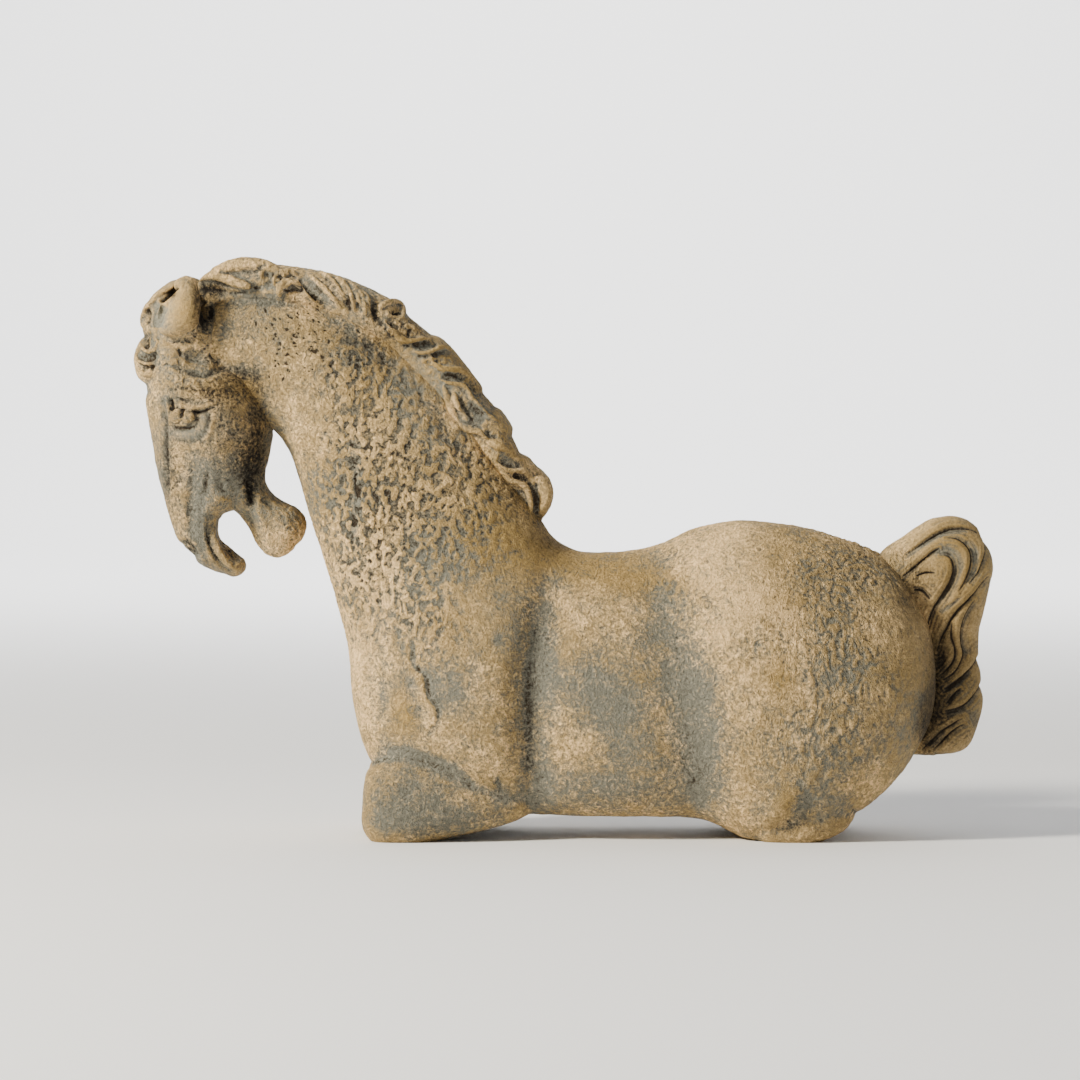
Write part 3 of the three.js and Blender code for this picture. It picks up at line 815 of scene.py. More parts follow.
def nearest_on(places, line):
    """For each place of a plane, its distance from a line of short straight steps, the share of the
    line's way where it comes nearest, and on which side of the line it lies."""
    starts, steps = line[:-1], np.diff(line, axis=0)
    apart = places[:, None] - starts
    reach = np.clip((apart * steps).sum(-1) / (steps**2).sum(-1), 0, 1)
    distance = np.linalg.norm(apart - reach[..., None] * steps, axis=-1)
    rows = np.arange(len(places))
    step = distance.argmin(1)
    across = steps[step, 0] * apart[rows, step, 1] - steps[step, 1] * apart[rows, step, 0]
    return distance[rows, step], (step + reach[rows, step]) / len(steps), np.sign(across)


def soft_height(x, z, masses, hollows):
    """Height of the modelled masses and hollows over a plain loft: a sum of bell curves round the
    masses' centres, less a bell curve of the distance from each hollow's line."""
    height = np.zeros(x.shape)
    for centre_x, centre_z, reach_x, reach_z, rise in masses:
        height += rise * np.exp(-(((x - centre_x) / reach_x) ** 2) - ((z - centre_z) / reach_z) ** 2)
    places = np.stack([x.ravel(), z.ravel()], axis=1)
    for width, depth, line in hollows:
        distance, _, _ = nearest_on(places, np.array(line, float))
        height -= (depth * np.exp(-((distance / width) ** 2))).reshape(x.shape)
    return height


def place(x, y, z):
    """A grid of points in metres, from the tables' thousandths."""
    sizes = bpy.context.scene.horse_sizes
    along, across = sizes.length / 1000, sizes.body_width / 1000
    return np.stack([x * along + ORIGIN_X, y * across, z * along], axis=-1)


def loft(stations, lean=0, middle=0, side=1, masses=(), hollows=(), fullness=None, swell=None):
    """A closed form between the top line and the bottom line of its stations. u runs along it and v
    round it. At each u the section is an oval: the height goes from top to bottom with the cosine of
    the turn, and the width is the half width times the sine of the turn, thinned towards the top by
    lean, squared off by fullness, swollen by swell, and raised by the masses and hollows of the side.
    middle is how far the form's own middle stands out to its side."""
    u, v = np.meshgrid(np.linspace(0, 1, RINGS), np.arange(SIDES) / SIDES, indexing="ij")
    top_x, top_z, bottom_x, bottom_z, half = np.moveaxis(curve_points(stations, u), -1, 0)
    turn = 2 * np.pi * v
    size = 1 + (swell(u, v) if swell else 0)
    share = (1 + np.cos(turn)) / 2
    scaled = 0.5 + size * (share - 0.5)
    x = bottom_x + (top_x - bottom_x) * scaled
    z = bottom_z + (top_z - bottom_z) * scaled
    half = np.maximum(half, 0) * (1 - lean * np.cos(turn))
    power = 1 - (fullness(half, share) if fullness else 0)
    out = np.sign(np.sin(turn)) * np.abs(np.sin(turn)) ** power
    raised = soft_height(x, z, masses, hollows) * np.minimum(half / RELIEF_HALF, 1)
    return place(x, side * (middle + out * size * (half + raised)), z)


def both_sides(make):
    return [make(-1), make(1)]


def seen(points):
    """Where points of the model stand in the photograph, in pixels: their offset from the camera's
    target across and up, each divided by the share of the camera's distance that is left to them. A
    point of the far side is taken at its mirror place, so both sides share one map."""
    apart = np.array(points, float) - TARGET
    apart[..., 1] = -np.abs(apart[..., 1])
    scale = CAMERA_DISTANCE / (CAMERA_DISTANCE - apart @ BACK) / PIXEL
    middle = PHOTO_SIDE / 2
    return np.stack([middle + apart[..., 0] * scale, middle - (apart @ UP) * scale], axis=-1)


def unseen(pixels, y):
    """The points of the model that stand at these pixels of the photograph and at this depth y: the
    inverse of seen, solved for x and z."""
    tilt_sine, tilt_cosine = UP[1], UP[2]
    rise = (PHOTO_SIDE / 2 - pixels[:, 1]) * PIXEL / CAMERA_DISTANCE
    z = (rise * (CAMERA_DISTANCE + tilt_cosine * y) - tilt_sine * y) / (tilt_cosine + rise * tilt_sine)
    left = CAMERA_DISTANCE + tilt_cosine * y - tilt_sine * z
    x = (pixels[:, 0] - PHOTO_SIDE / 2) * PIXEL / CAMERA_DISTANCE * left
    return np.stack([x, y, z], axis=1) + TARGET * [1, 0, 1]


def strand(form, radius, line, side, rings=90, sides=20):
    """A round cord of clay laid on a form along a line of the photograph. Its middle follows the line,
    a share of the radius out from the form's depth there. Its radius swells from nothing at both ends
    as a low power of a sine, and each ring stands square to the way."""
    shares = np.linspace(0, 1, rings)
    pixels = curve_points(line, shares)
    near_side = form[..., 1] <= 0
    surface = form[near_side]
    apart = np.linalg.norm(seen(surface)[None] - pixels[:, None], axis=-1)
    depth = surface[apart.argmin(1), 1]
    window = np.ones(STRAND_WINDOW) / STRAND_WINDOW
    depth = np.convolve(np.pad(depth, STRAND_WINDOW // 2, mode="edge"), window, mode="valid")
    path = unseen(pixels, depth - STRAND_LIFT * radius * PIXEL)
    way = np.gradient(path, axis=0)
    way /= np.linalg.norm(way, axis=1)[:, None]
    across = np.cross(way, [0, 1, 0])
    across /= np.linalg.norm(across, axis=1)[:, None]
    outward = np.cross(across, way)
    turn = 2 * np.pi * np.arange(sides) / sides
    thick = radius * PIXEL * np.sin(np.pi * shares)[:, None] ** STRAND_BLUNTNESS
    ring = across[:, None] * np.cos(turn)[None, :, None] + outward[:, None] * np.sin(turn)[None, :, None]
    cord = path[:, None] + thick[..., None] * ring
    return cord * [1, -side, 1]


def put_into_mesh(name, grids):
    """A mesh of closed grids: each cell of a grid is a quad, and the last column joins the first."""
    corners, quads, count = [], [], 0
    for grid in grids:
        rings, sides = grid.shape[:2]
        row, column = np.meshgrid(np.arange(rings - 1), np.arange(sides), indexing="ij")
        beside = (column + 1) % sides
        start, end = row * sides, (row + 1) * sides
        cell = [start + column, start + beside, end + beside, end + column]
        quads.append(np.stack(cell, axis=-1).reshape(-1, 4) + count)
        corners.append(grid.reshape(-1, 3))
        count += rings * sides
    corners, quads = np.concatenate(corners), np.concatenate(quads)
    mesh = bpy.data.meshes.new(name)
    mesh.vertices.add(len(corners))
    mesh.vertices.foreach_set("co", corners.astype(np.float32).ravel())
    mesh.loops.add(quads.size)
    mesh.loops.foreach_set("vertex_index", quads.astype(np.int32).ravel())
    mesh.polygons.add(len(quads))
    mesh.polygons.foreach_set("loop_start", np.arange(0, quads.size, 4, dtype=np.int32))
    mesh.update(calc_edges=True)
    return mesh


def one_skin(name, grids, voxel):
    """One closed skin round all the grids: they are put into a mesh and joined by a voxel remesh."""
    piece = bpy.data.objects.new(name, put_into_mesh(name, grids))
    bpy.context.scene.collection.objects.link(piece)
    remesh = piece.modifiers.new("Join", "REMESH")
    remesh.mode = "VOXEL"
    remesh.voxel_size = voxel * MM
    depsgraph = bpy.context.evaluated_depsgraph_get()
    joined = bpy.data.meshes.new_from_object(piece.evaluated_get(depsgraph))
    piece.modifiers.clear()
    rough = piece.data
    piece.data = joined
    bpy.data.meshes.remove(rough)
    joined.name = name
    return piece


def read_points(mesh, field="co"):
    source = mesh.vertices if field == "co" else mesh.vertex_normals
    values = np.empty(3 * len(source), np.float32)
    source.foreach_get(field, values)
    return values.reshape(-1, 3).astype(float)


def write_points(mesh, points):
    mesh.vertices.foreach_set("co", points.astype(np.float32).ravel())
    mesh.update()


class Smoother:
    """Moves each value of a mesh's points towards the mean of its neighbours along the edges."""

    def __init__(self, mesh):
        pairs = np.empty(2 * len(mesh.edges), np.int32)
        mesh.edges.foreach_get("vertices", pairs)
        self.start, self.end = pairs.reshape(-1, 2).T
        self.count = len(mesh.vertices)
        ends = np.concatenate([self.start, self.end])
        self.degree = np.maximum(np.bincount(ends, minlength=self.count), 1)[:, None]

    def mean(self, values):
        total = np.empty_like(values)
        for column in range(values.shape[1]):
            given = values[:, column]
            total[:, column] = np.bincount(self.start, given[self.end], self.count)
            total[:, column] += np.bincount(self.end, given[self.start], self.count)
        return total / self.degree

    def smooth(self, values, rounds, share=0.5):
        for _ in range(rounds):
            values = values + share * (self.mean(values) - values)
        return values


def lattice_noise(points, size, seed):
    """Smooth noise from about -1 to 1: each corner of a cubic lattice of this size, turned at random,
    holds a random slope, and the heights of the eight slopes round a point are blended by a smooth step
    of the point's place between them."""
    count = 24
    random = np.random.default_rng(seed)
    slopes = random.normal(size=(count, count, count, 3))
    slopes /= np.linalg.norm(slopes, axis=-1, keepdims=True)
    turned, _ = np.linalg.qr(random.normal(size=(3, 3)))
    place_in = np.asarray(points) @ turned / size
    cell = np.floor(place_in).astype(int)
    t = place_in - cell
    blend = t**3 * (t * (6 * t - 15) + 10)
    total = np.zeros(len(points))
    for corner in np.ndindex(2, 2, 2):
        at = (cell + corner) % count
        share = np.prod(np.where(corner, blend, 1 - blend), axis=1)
        total += share * (slopes[at[:, 0], at[:, 1], at[:, 2]] * (t - corner)).sum(1)
    return 1.6 * total


def layered_noise(points, size, seed, layers=3):
    """Layers of lattice noise, each half as large and half as strong as the one before."""
    return sum(lattice_noise(points, size / 2**k, seed + k) / 2**k for k in range(layers))


# Heights over the signed distance from a line, in widths of the line. A groove, a pit and a ridge are
# bell curves, a dish has a flat floor and steep walls, a cut falls off from a sharp floor, and a step
# stands up on the right of the way.
PROFILES = {
    "dish": lambda away: -1 / (1 + away**4),
    "groove": lambda away: -np.exp(-(away**2)),
    "cut": lambda away: -np.exp(-np.abs(away)),
    "pit": lambda away: -np.exp(-(away**2)),
    "ridge": lambda away: np.exp(-(away**2)),
    "step": lambda away: np.tanh(2.5 * away) * np.exp(-np.abs(away) / 2),
}


def carved(pixels, carving):
    """Height in millimetres of a list of carvings at places of the photograph: each adds its profile of
    the distance from its line, which dies out towards the line's two ends."""
    height = np.zeros(len(pixels))
    for profile, width, size, points in carving:
        line = curve_points(points, np.linspace(0, 1, 8 * len(points)))
        reach = LINE_REACH * width
        near = ((pixels > line.min(0) - reach) & (pixels < line.max(0) + reach)).all(1)
        if near.any():
            distance, share, side = nearest_on(pixels[near], line)
            fade = 1 if profile == "pit" else (4 * share * (1 - share)) ** LINE_FADE
            height[near] += size * fade * PROFILES[profile](side * distance / width)
    return height


def dome(pixels, centre_x, centre_y, half_x, half_y, rise):
    """A round boss: the height is the rise times the root of one less the squared share of the way
    from its centre to its rim."""
    share = ((pixels[:, 0] - centre_x) / half_x) ** 2 + ((pixels[:, 1] - centre_y) / half_y) ** 2
    return rise * np.sqrt(np.clip(1 - share, 0, 1))


def settled(pixels, carving, profiles, share):
    """How much settles in the carvings of these profiles, and in a pit or a groove how much dark earth with
    painted shade lies: this share of their depth for their width.
    """
    rows = [
        (profile, width, min(share * size / width, 1), line)
        for profile, width, size, line in carving
        if profile in profiles
    ]
    return np.clip(-carved(pixels, rows), 0, 1)


def gathered(pixels, places):
    """How much gathers at each pixel: a sum of bell curves round the named places."""
    total = np.zeros(len(pixels))
    for centre_x, centre_y, reach_x, reach_y, amount in places:
        away = ((pixels[:, 0] - centre_x) / reach_x) ** 2 + ((pixels[:, 1] - centre_y) / reach_y) ** 2
        total += amount * np.exp(-away)
    return np.clip(total, 0, MOST_STAIN_AND_PAINTED_LIGHT)


def tool_pits(pixels):
    """Depth from 0 to 1 of the tool's marks: bell curves of the distance from seeded random centres,
    measured along and across each mark's own slant."""
    random = np.random.default_rng(7)
    depth = np.zeros(len(pixels))
    for (centre_x, centre_y, reach_x, reach_y), count in zip(PIT_PLACES, PIT_COUNTS):
        centres = random.normal(size=(count, 2)) * [reach_x, reach_y] + [centre_x, centre_y]
        slant = PIT_SLANT[0] + PIT_SLANT[1] * random.normal(size=count)
        size = random.uniform(*PIT_SPREAD, count)
        near = (np.abs(pixels - [centre_x, centre_y]) < 4 * np.array([reach_x, reach_y])).all(1)
        apart = pixels[near][:, None] - centres
        along = apart[..., 0] * np.cos(slant) + apart[..., 1] * np.sin(slant)
        across = apart[..., 1] * np.cos(slant) - apart[..., 0] * np.sin(slant)
        away = (along / (PIT_SIZE[0] * size)) ** 2 + (across / (PIT_SIZE[1] * size)) ** 2
        depth[near] = np.maximum(depth[near], np.exp(-(away**1.5)).max(1))
    return depth


def thin_out(piece):
    """Collapses edges, the flattest first, down to the most triangles that a piece keeps."""
    count = 2 * len(piece.data.polygons)
    if count <= MOST_TRIANGLES:
        return
    decimate = piece.modifiers.new("Thin out", "DECIMATE")
    decimate.ratio = MOST_TRIANGLES / count
    depsgraph = bpy.context.evaluated_depsgraph_get()
    thinned = bpy.data.meshes.new_from_object(piece.evaluated_get(depsgraph))
    piece.modifiers.clear()
    dense = piece.data
    name = dense.name
    piece.data = thinned
    bpy.data.meshes.remove(dense)
    thinned.name = name


def above_floor(points):
    return np.maximum(points, [-np.inf, -np.inf, 0])


def finish_piece(piece, relief, carving, material, rounds=2, skin=None):
    """Smooths a piece, carves it along its normals by relief(points, pixels, normals) in millimetres, keeps
    it above the floor, and writes how deep each point lies and what has settled on it, with painted light in
    the pale map and painted shade in the dark map."""
    mesh = piece.data
    smoother = Smoother(mesh)
    points = smoother.smooth(read_points(mesh), rounds)
    write_points(mesh, points)
    normals = smoother.smooth(read_points(mesh, "vector"), NORMAL_ROUNDS)
    normals /= np.linalg.norm(normals, axis=1, keepdims=True)
    pixels = seen(points)
    height = relief(points, pixels, normals)
    if skin:
        scraps = skin(points, pixels)
        height += PLATE_HEIGHT * np.tanh(PLATE_EDGE * scraps)
        add_attribute(mesh, "scraps", "FLOAT", scraps)
    height *= bpy.context.scene.horse_sizes.carving
    points = above_floor(points + normals * height[:, None] * MM)
    write_points(mesh, points)

    normals = read_points(mesh, "vector")
    fine = ((smoother.smooth(points, FINE_ROUNDS) - points) * normals).sum(1) / MM
    broad = ((smoother.smooth(points, BROAD_ROUNDS) - points) * normals).sum(1) / MM
    add_attribute(mesh, "recess", "FLOAT_VECTOR", np.stack([fine, broad, tool_pits(pixels)], axis=1))
    # The pale map also paints light on lit places, and the dark map paints shade where it falls as well as
    # earth.
    maps = [gathered(pixels, places) for places in (WARM_PLACES, PALE_AND_PAINTED_LIGHT_PLACES, GREY_PLACES, EARTH_AND_PAINTED_SHADE_PLACES)]
    maps[2] += settled(pixels, carving, ("dish",), WASH_SHARE)
    # Pits and grooves take dark earth with painted shade.
    maps[3] += settled(pixels, carving, ("pit", "groove"), EARTH_AND_SHADE_SHARE)
    stains_and_painted_light = smoother.smooth(np.clip(np.stack(maps, axis=1), 0, MOST_STAIN_AND_PAINTED_LIGHT), STAIN_ROUNDS)
    add_attribute(mesh, "stain_and_painted_light", "FLOAT_COLOR", stains_and_painted_light)
    maps = [gathered(pixels, places) for places in (FLAKY_PLACES, WRINKLED_PLACES, SMOOTH_PLACES)]
    add_attribute(mesh, "skin", "FLOAT_VECTOR", np.stack(maps, axis=1))
    thin_out(piece)
    mesh = piece.data
    write_points(mesh, above_floor(read_points(mesh)))
    mesh.polygons.foreach_set("use_smooth", np.ones(len(mesh.polygons), bool))
    mesh.materials.clear()
    mesh.materials.append(material)
    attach(piece, "root")
    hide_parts("horse")


def add_attribute(mesh, name, kind, values):
    field = {"FLOAT": "value", "FLOAT_COLOR": "color", "FLOAT_VECTOR": "vector"}[kind]
    attribute = mesh.attributes.new(name, kind, "POINT")
    attribute.data.foreach_set(field, values.astype(np.float32).ravel())


def node(tree, kind, inputs=None, **settings):
    """Adds a node, sets it, and gives its inputs values or links them to another node's output."""
    made = tree.nodes.new("ShaderNode" + kind)
    for name, value in settings.items():
        setattr(made, name, value)
    for key, value in (inputs or {}).items():
        if isinstance(value, bpy.types.NodeSocket):
            tree.links.new(value, made.inputs[key])
        else:
            made.inputs[key].default_value = value
    return made


def math_node(tree, operation, *values, clamp=False):
    return node(tree, "Math", dict(enumerate(values)), operation=operation, use_clamp=clamp).outputs[0]


def ramp(tree, value, low, high):
    """A value's smooth step from 0 at low to 1 at high."""
    inputs = {"Value": value, "From Min": low, "From Max": high}
    return node(tree, "MapRange", inputs, interpolation_type="SMOOTHSTEP").outputs["Result"]


def mixed(tree, share, first, second, blend="MIX"):
    made = node(tree, "Mix", {"Factor": share}, data_type="RGBA", blend_type=blend)
    for socket, value in zip([s for s in made.inputs if s.type == "RGBA"], (first, second)):
        if isinstance(value, bpy.types.NodeSocket):
            tree.links.new(value, socket)
        else:
            socket.default_value = value
    return next(s for s in made.outputs if s.type == "RGBA")


def weighted(tree, start, *terms):
    """start plus the sum of each value times its weight."""
    for value, weight in terms:
        start = math_node(tree, "MULTIPLY_ADD", value, weight, start)
    return start


def noise_node(tree, where, scale, detail=3, roughness=0.55, distortion=0.0):
    """Noise spread from about -1 to 1 round 0."""
    inputs = {"Vector": where, "Scale": scale, "Detail": detail}
    inputs |= {"Roughness": roughness, "Distortion": distortion}
    return weighted(tree, -3, (node(tree, "TexNoise", inputs).outputs["Fac"], 6))


def new_group(name, inputs, outputs):
    """An empty node group with these named sockets, and its input and output nodes."""
    group = bpy.data.node_groups.new(name, "ShaderNodeTree")
    for socket, (kind, value) in inputs.items():
        made = group.interface.new_socket(socket, in_out="INPUT", socket_type="NodeSocket" + kind)
        if value is not None:
            made.default_value = value
    for socket, kind in outputs.items():
        group.interface.new_socket(socket, in_out="OUTPUT", socket_type="NodeSocket" + kind)
    return group, group.nodes.new("NodeGroupInput").outputs, group.nodes.new("NodeGroupOutput").inputs


def grain_group():
    """The grain of the clay. Height, in millimetres, is its sandy crumbs, the tracks between its skin's
    scraps, and the small plates and wrinkles where the skin attribute has them. The plates stand where
    the scraps attribute is high, with ragged edges. Skin is how high the grain stands at a point, from
    about -1 to 1."""
    group, given, out = new_group(
        "Clay grain",
        {"Place": ("Vector", None), "Crumb": ("Float", 0.1), "Track": ("Float", 0.2)},
        {"Height": "Float", "Skin": "Float"},
    )
    where = given["Place"]
    masks = node(group, "SeparateXYZ", {0: node(group, "Attribute", attribute_name="skin").outputs["Vector"]})
    flaky, wrinkled, smooth = (masks.outputs[k] for k in range(3))
    upright = node(group, "Mapping", {"Vector": where, "Scale": (1, 1, 0.5)}).outputs["Vector"]
    crumbs = noise_node(group, where, 560, 3, 0.7)
    worms = noise_node(group, where, 300, 3, 0.6, 1.5)
    flakes = noise_node(group, upright, 330, 3, 0.6, 0.8)
    tracks = ramp(group, worms, -0.5, 0.4)
    scraps = node(group, "Attribute", attribute_name="scraps").outputs["Fac"]
    edge = weighted(group, 0.08, (scraps, 1.8), (flakes, 0.4))
    plates = math_node(group, "MULTIPLY", ramp(group, edge, -0.14, 0.16), flaky)
    creases = math_node(group, "MULTIPLY", math_node(group, "ABSOLUTE", flakes), wrinkled)
    rough = weighted(group, 1, (smooth, -0.75))
    height = weighted(
        group, 0, (math_node(group, "MULTIPLY", crumbs, given["Crumb"]), rough),
        (math_node(group, "MULTIPLY", tracks, given["Track"]), rough), (plates, 0.8), (creases, 1.5))
    skin = weighted(group, 0, (crumbs, 0.55), (worms, 0.5), (plates, 0.65), (flaky, -0.36))
    group.links.new(height, out["Height"])
    group.links.new(math_node(group, "MULTIPLY", skin, rough), out["Skin"])
    return group


def patina_group():
    """The colour of the clay. Blue grey wash lies in its low places and in patches, tan clay shows on the
    scraps of skin that stand up through the wash, pale on their tops, in chalky places and as painted light
    on lit places, and ochre where it is warm, and dark earth has settled in the grooves, the pits and the
    gaps between the crumbs. The dark map is also painted shade, laid on as earth and as a darkening of the
    colour where shade falls."""
    group, given, out = new_group(
        "Clay patina",
        {
            "Place": ("Vector", None),
            "Clay": ("Color", (0.4, 0.3, 0.2, 1)),
            "Pale": ("Color", (0.6, 0.5, 0.4, 1)),
            "Warm": ("Color", (0.4, 0.2, 0.1, 1)),
            "Wash": ("Color", (0.2, 0.2, 0.2, 1)),
            "Earth": ("Color", (0.05, 0.03, 0.02, 1)),
            "Skin": ("Float", 0),
            "Wash amount": ("Float", 0.5),
            "Earth amount": ("Float", 0.5),
        },
        {"Colour": "Color", "Roughness": "Float"},
    )
    where, skin = given["Place"], given["Skin"]
    recess = node(group, "Attribute", attribute_name="recess")
    depth = node(group, "SeparateXYZ", {0: recess.outputs["Vector"]})
    fine, broad, pits = (depth.outputs[k] for k in range(3))
    stain_and_painted_light = node(group, "Attribute", attribute_name="stain_and_painted_light")
    stains_and_painted_light = node(group, "SeparateColor", {0: stain_and_painted_light.outputs["Color"]})
    warm, pale, grey, dark = stains_and_painted_light.outputs[0], stains_and_painted_light.outputs[1], stains_and_painted_light.outputs[2], stain_and_painted_light.outputs["Alpha"]

    patches = noise_node(group, where, 28, 4, 0.6)
    mottles = noise_node(group, where, 100, 4, 0.65, 0.5)
    specks = noise_node(group, where, 900, 2, 0.7)

    bare = weighted(group, 0.15, (pale, 0.95), (patches, 0.4), (mottles, 0.35), (skin, 0.55))
    colour = mixed(group, ramp(group, bare, 0.0, 1.3), given["Clay"], given["Pale"])
    ochre = weighted(group, -0.05, (warm, 0.9), (mottles, 0.25), (patches, -0.25))
    colour = mixed(group, ramp(group, ochre, 0.0, 1.0), colour, given["Warm"])

    low = weighted(
        group, given["Wash amount"], (grey, 0.9), (pale, -0.4), (warm, -0.35), (fine, 1.1), (broad, 1.0),
        (patches, -0.5), (mottles, 0.3), (skin, -0.7))
    washed = math_node(group, "MULTIPLY", ramp(group, low, -0.6, 0.9), 0.95)
    colour = mixed(group, washed, colour, given["Wash"])

    # Dark earth in the gaps, and painted shade through the dark map.
    gaps = weighted(
        group, given["Earth amount"], (dark, 0.5), (fine, 0.8), (broad, 0.5), (pits, 0.9), (skin, -0.55),
        (mottles, 0.15))
    filled = math_node(group, "MULTIPLY", ramp(group, gaps, 0.2, 1.15), 0.96)
    colour = mixed(group, filled, colour, given["Earth"])

    # Painted shade: the dark map darkens the colour where shade falls, down to black behind the ear.
    shaded = ramp(group, dark, -0.2, 1.2 * MOST_STAIN_AND_PAINTED_LIGHT)
    speck = weighted(group, 1.03, (specks, 0.12), (skin, 0.33), (shaded, -0.85))
    value = node(group, "CombineColor", {0: speck, 1: speck, 2: speck}).outputs[0]
    colour = mixed(group, 1.0, colour, value, "MULTIPLY")
    group.links.new(colour, out["Colour"])
    group.links.new(weighted(group, 0.85, (specks, 0.06)), out["Roughness"])
    return group


def clay_material(name, crumb, track, wash, earth):
    """A clay for one piece: the shared grain and patina, in this piece's strengths."""
    finish = bpy.context.scene.clay_finish
    material = bpy.data.materials.new(name)
    material.use_nodes = True
    tree = material.node_tree
    shader = tree.nodes["Principled BSDF"]
    where = node(tree, "TexCoord").outputs["Object"]
    grain_tree = bpy.data.node_groups.get("Clay grain") or grain_group()
    grain = node(tree, "Group", {"Place": where, "Crumb": crumb, "Track": track}, node_tree=grain_tree)
    patina_tree = bpy.data.node_groups.get("Clay patina") or patina_group()
    inputs = {"Place": where, "Skin": grain.outputs["Skin"], "Wash amount": wash, "Earth amount": earth}
    for colour in ("clay", "pale", "warm", "wash", "earth"):
        inputs[colour.capitalize()] = (*getattr(finish, colour), 1)
    patina = node(tree, "Group", inputs, node_tree=patina_tree)
    bump = node(tree, "Bump", {"Height": grain.outputs["Height"], "Distance": MM, "Strength": 1.0})
    tree.links.new(patina.outputs["Colour"], shader.inputs["Base Color"])
    tree.links.new(patina.outputs["Roughness"], shader.inputs["Roughness"])
    tree.links.new(bump.outputs["Normal"], shader.inputs["Normal"])
    shader.inputs["Specular IOR Level"].default_value = 0.25
    return material


def neck_skin(points, pixels):
    """How high the plates of the neck's skin stand at each point, from about -1 to 1: a noise stretched
    from top to bottom and warped by a finer one."""
    warp = PLATE_WARP * MM * lattice_noise(points, PLATE_WARP_SIZE * MM, 41)
    warped = points / [1, 1, PLATE_STRETCH] + warp[:, None]
    return layered_noise(warped, PLATE_SIZE * MM, 42, 2) * gathered(pixels, FLAKY_PLACES)


def haunch_skin(points, pixels):
    """Wrinkles of the haunch in millimetres: the narrow cracks of a noise stretched from top to bottom."""
    stretched = points / [1, 1, WRINKLE_STRETCH]
    folds = 2 * np.abs(layered_noise(stretched, WRINKLE_SIZE * MM, 52, 2)) - WRINKLE_CRACK
    return WRINKLE_HEIGHT * folds * gathered(pixels, WRINKLED_PLACES)


def lumps(points, pixels):
    """Pressed crumbs of clay in millimetres: plateaus of a fine noise."""
    noise = layered_noise(points, LUMP_SIZE * MM, 71, 2)
    return LUMP_HEIGHT * np.tanh(LUMP_EDGE * noise) * gathered(pixels, LUMPY_PLACES)


def unevenness(points, rows):
    """A sum of layered noises in millimetres, as (height, size, seed, layers)."""
    return sum(height * layered_noise(points, size * MM, seed, layers) for height, size, seed, layers in rows)


def body_relief(points, pixels, normals):
    skin = haunch_skin(points, pixels) - PIT_DEPTH * tool_pits(pixels)
    return carved(pixels, BODY_CARVING) + unevenness(points, BODY_UNEVEN) + skin


def head_relief(points, pixels, normals):
    uneven = unevenness(points, HEAD_UNEVEN)
    sideways = np.clip(3 * np.abs(normals[:, 1]) - 0.3, 0, 1)
    eye = carved(pixels, EYE_SOCKET + LIDS) + sum(dome(pixels, *ball) for ball in EYEBALLS)
    return carved(pixels, HEAD_CARVING) + eye * sideways + uneven + lumps(points, pixels)


def mane_relief(points, pixels, normals):
    return carved(pixels, MANE_CARVING) + unevenness(points, MANE_UNEVEN) + lumps(points, pixels)


def tail_carving():
    cuts = [("groove", *TAIL_CUT, line) for _, line in TAIL_GROOVES]
    slopes = [("cut", *TAIL_SLOPE, line) for _, line in TAIL_GROOVES]
    edges = [("step", TAIL_EDGE, EDGE_SHARE * rise, line) for rise, line in TAIL_GROOVES]
    return cuts + slopes + edges + [("dish", *row) for row in TAIL_VALLEYS]


def streaks(pixels):
    """Fine hairs along the strands of the tail in millimetres: a wave of the distance from the nearest
    groove, which dies out away from it."""
    lines = [curve_points(line, np.linspace(0, 1, 40)) for _, line in TAIL_GROOVES]
    distance = np.min([nearest_on(pixels, line)[0] for line in lines], axis=0)
    return HAIR_HEIGHT * np.sin(2 * np.pi * distance / HAIR_STEP) * np.exp(-distance / HAIR_REACH)


def tail_relief(points, pixels, normals):
    sideways = np.clip(2 * np.abs(normals[:, 1]) - 0.3, 0, 1)
    return carved(pixels, tail_carving()) + streaks(pixels) * sideways + unevenness(points, TAIL_UNEVEN)


class HORSE_OT_body(bpy.types.Operator):
    """Builds the trunk with its neck and its folded legs"""

    bl_idname = "horse.body"
    bl_label = "Body"

    def execute(self, context):
        trunk = loft(
            TRUNK, lean=TRUNK_LEAN, masses=BODY_MASSES, hollows=BODY_HOLLOWS,
            fullness=lambda half, share: BELLY_FULLNESS * (1 - share) * np.minimum(half / BELLY_HALF, 1) ** 2)
        forelegs = both_sides(
            lambda side: loft(
                FORELEG, middle=FORELEG_MIDDLE, side=side, fullness=lambda *_: FORELEG_FULLNESS))
        feet = both_sides(
            lambda side: loft(
                HIND_FOOT, middle=HIND_FOOT_MIDDLE, side=side, fullness=lambda *_: HIND_FOOT_FULLNESS))
        piece = one_skin("body", [trunk, *forelegs, *feet], BODY_VOXEL)
        clay = clay_material("Body clay", crumb=0.46, track=0.6, wash=-0.04, earth=-0.08)
        finish_piece(piece, body_relief, BODY_CARVING, clay, rounds=5, skin=neck_skin)
        return {"FINISHED"}


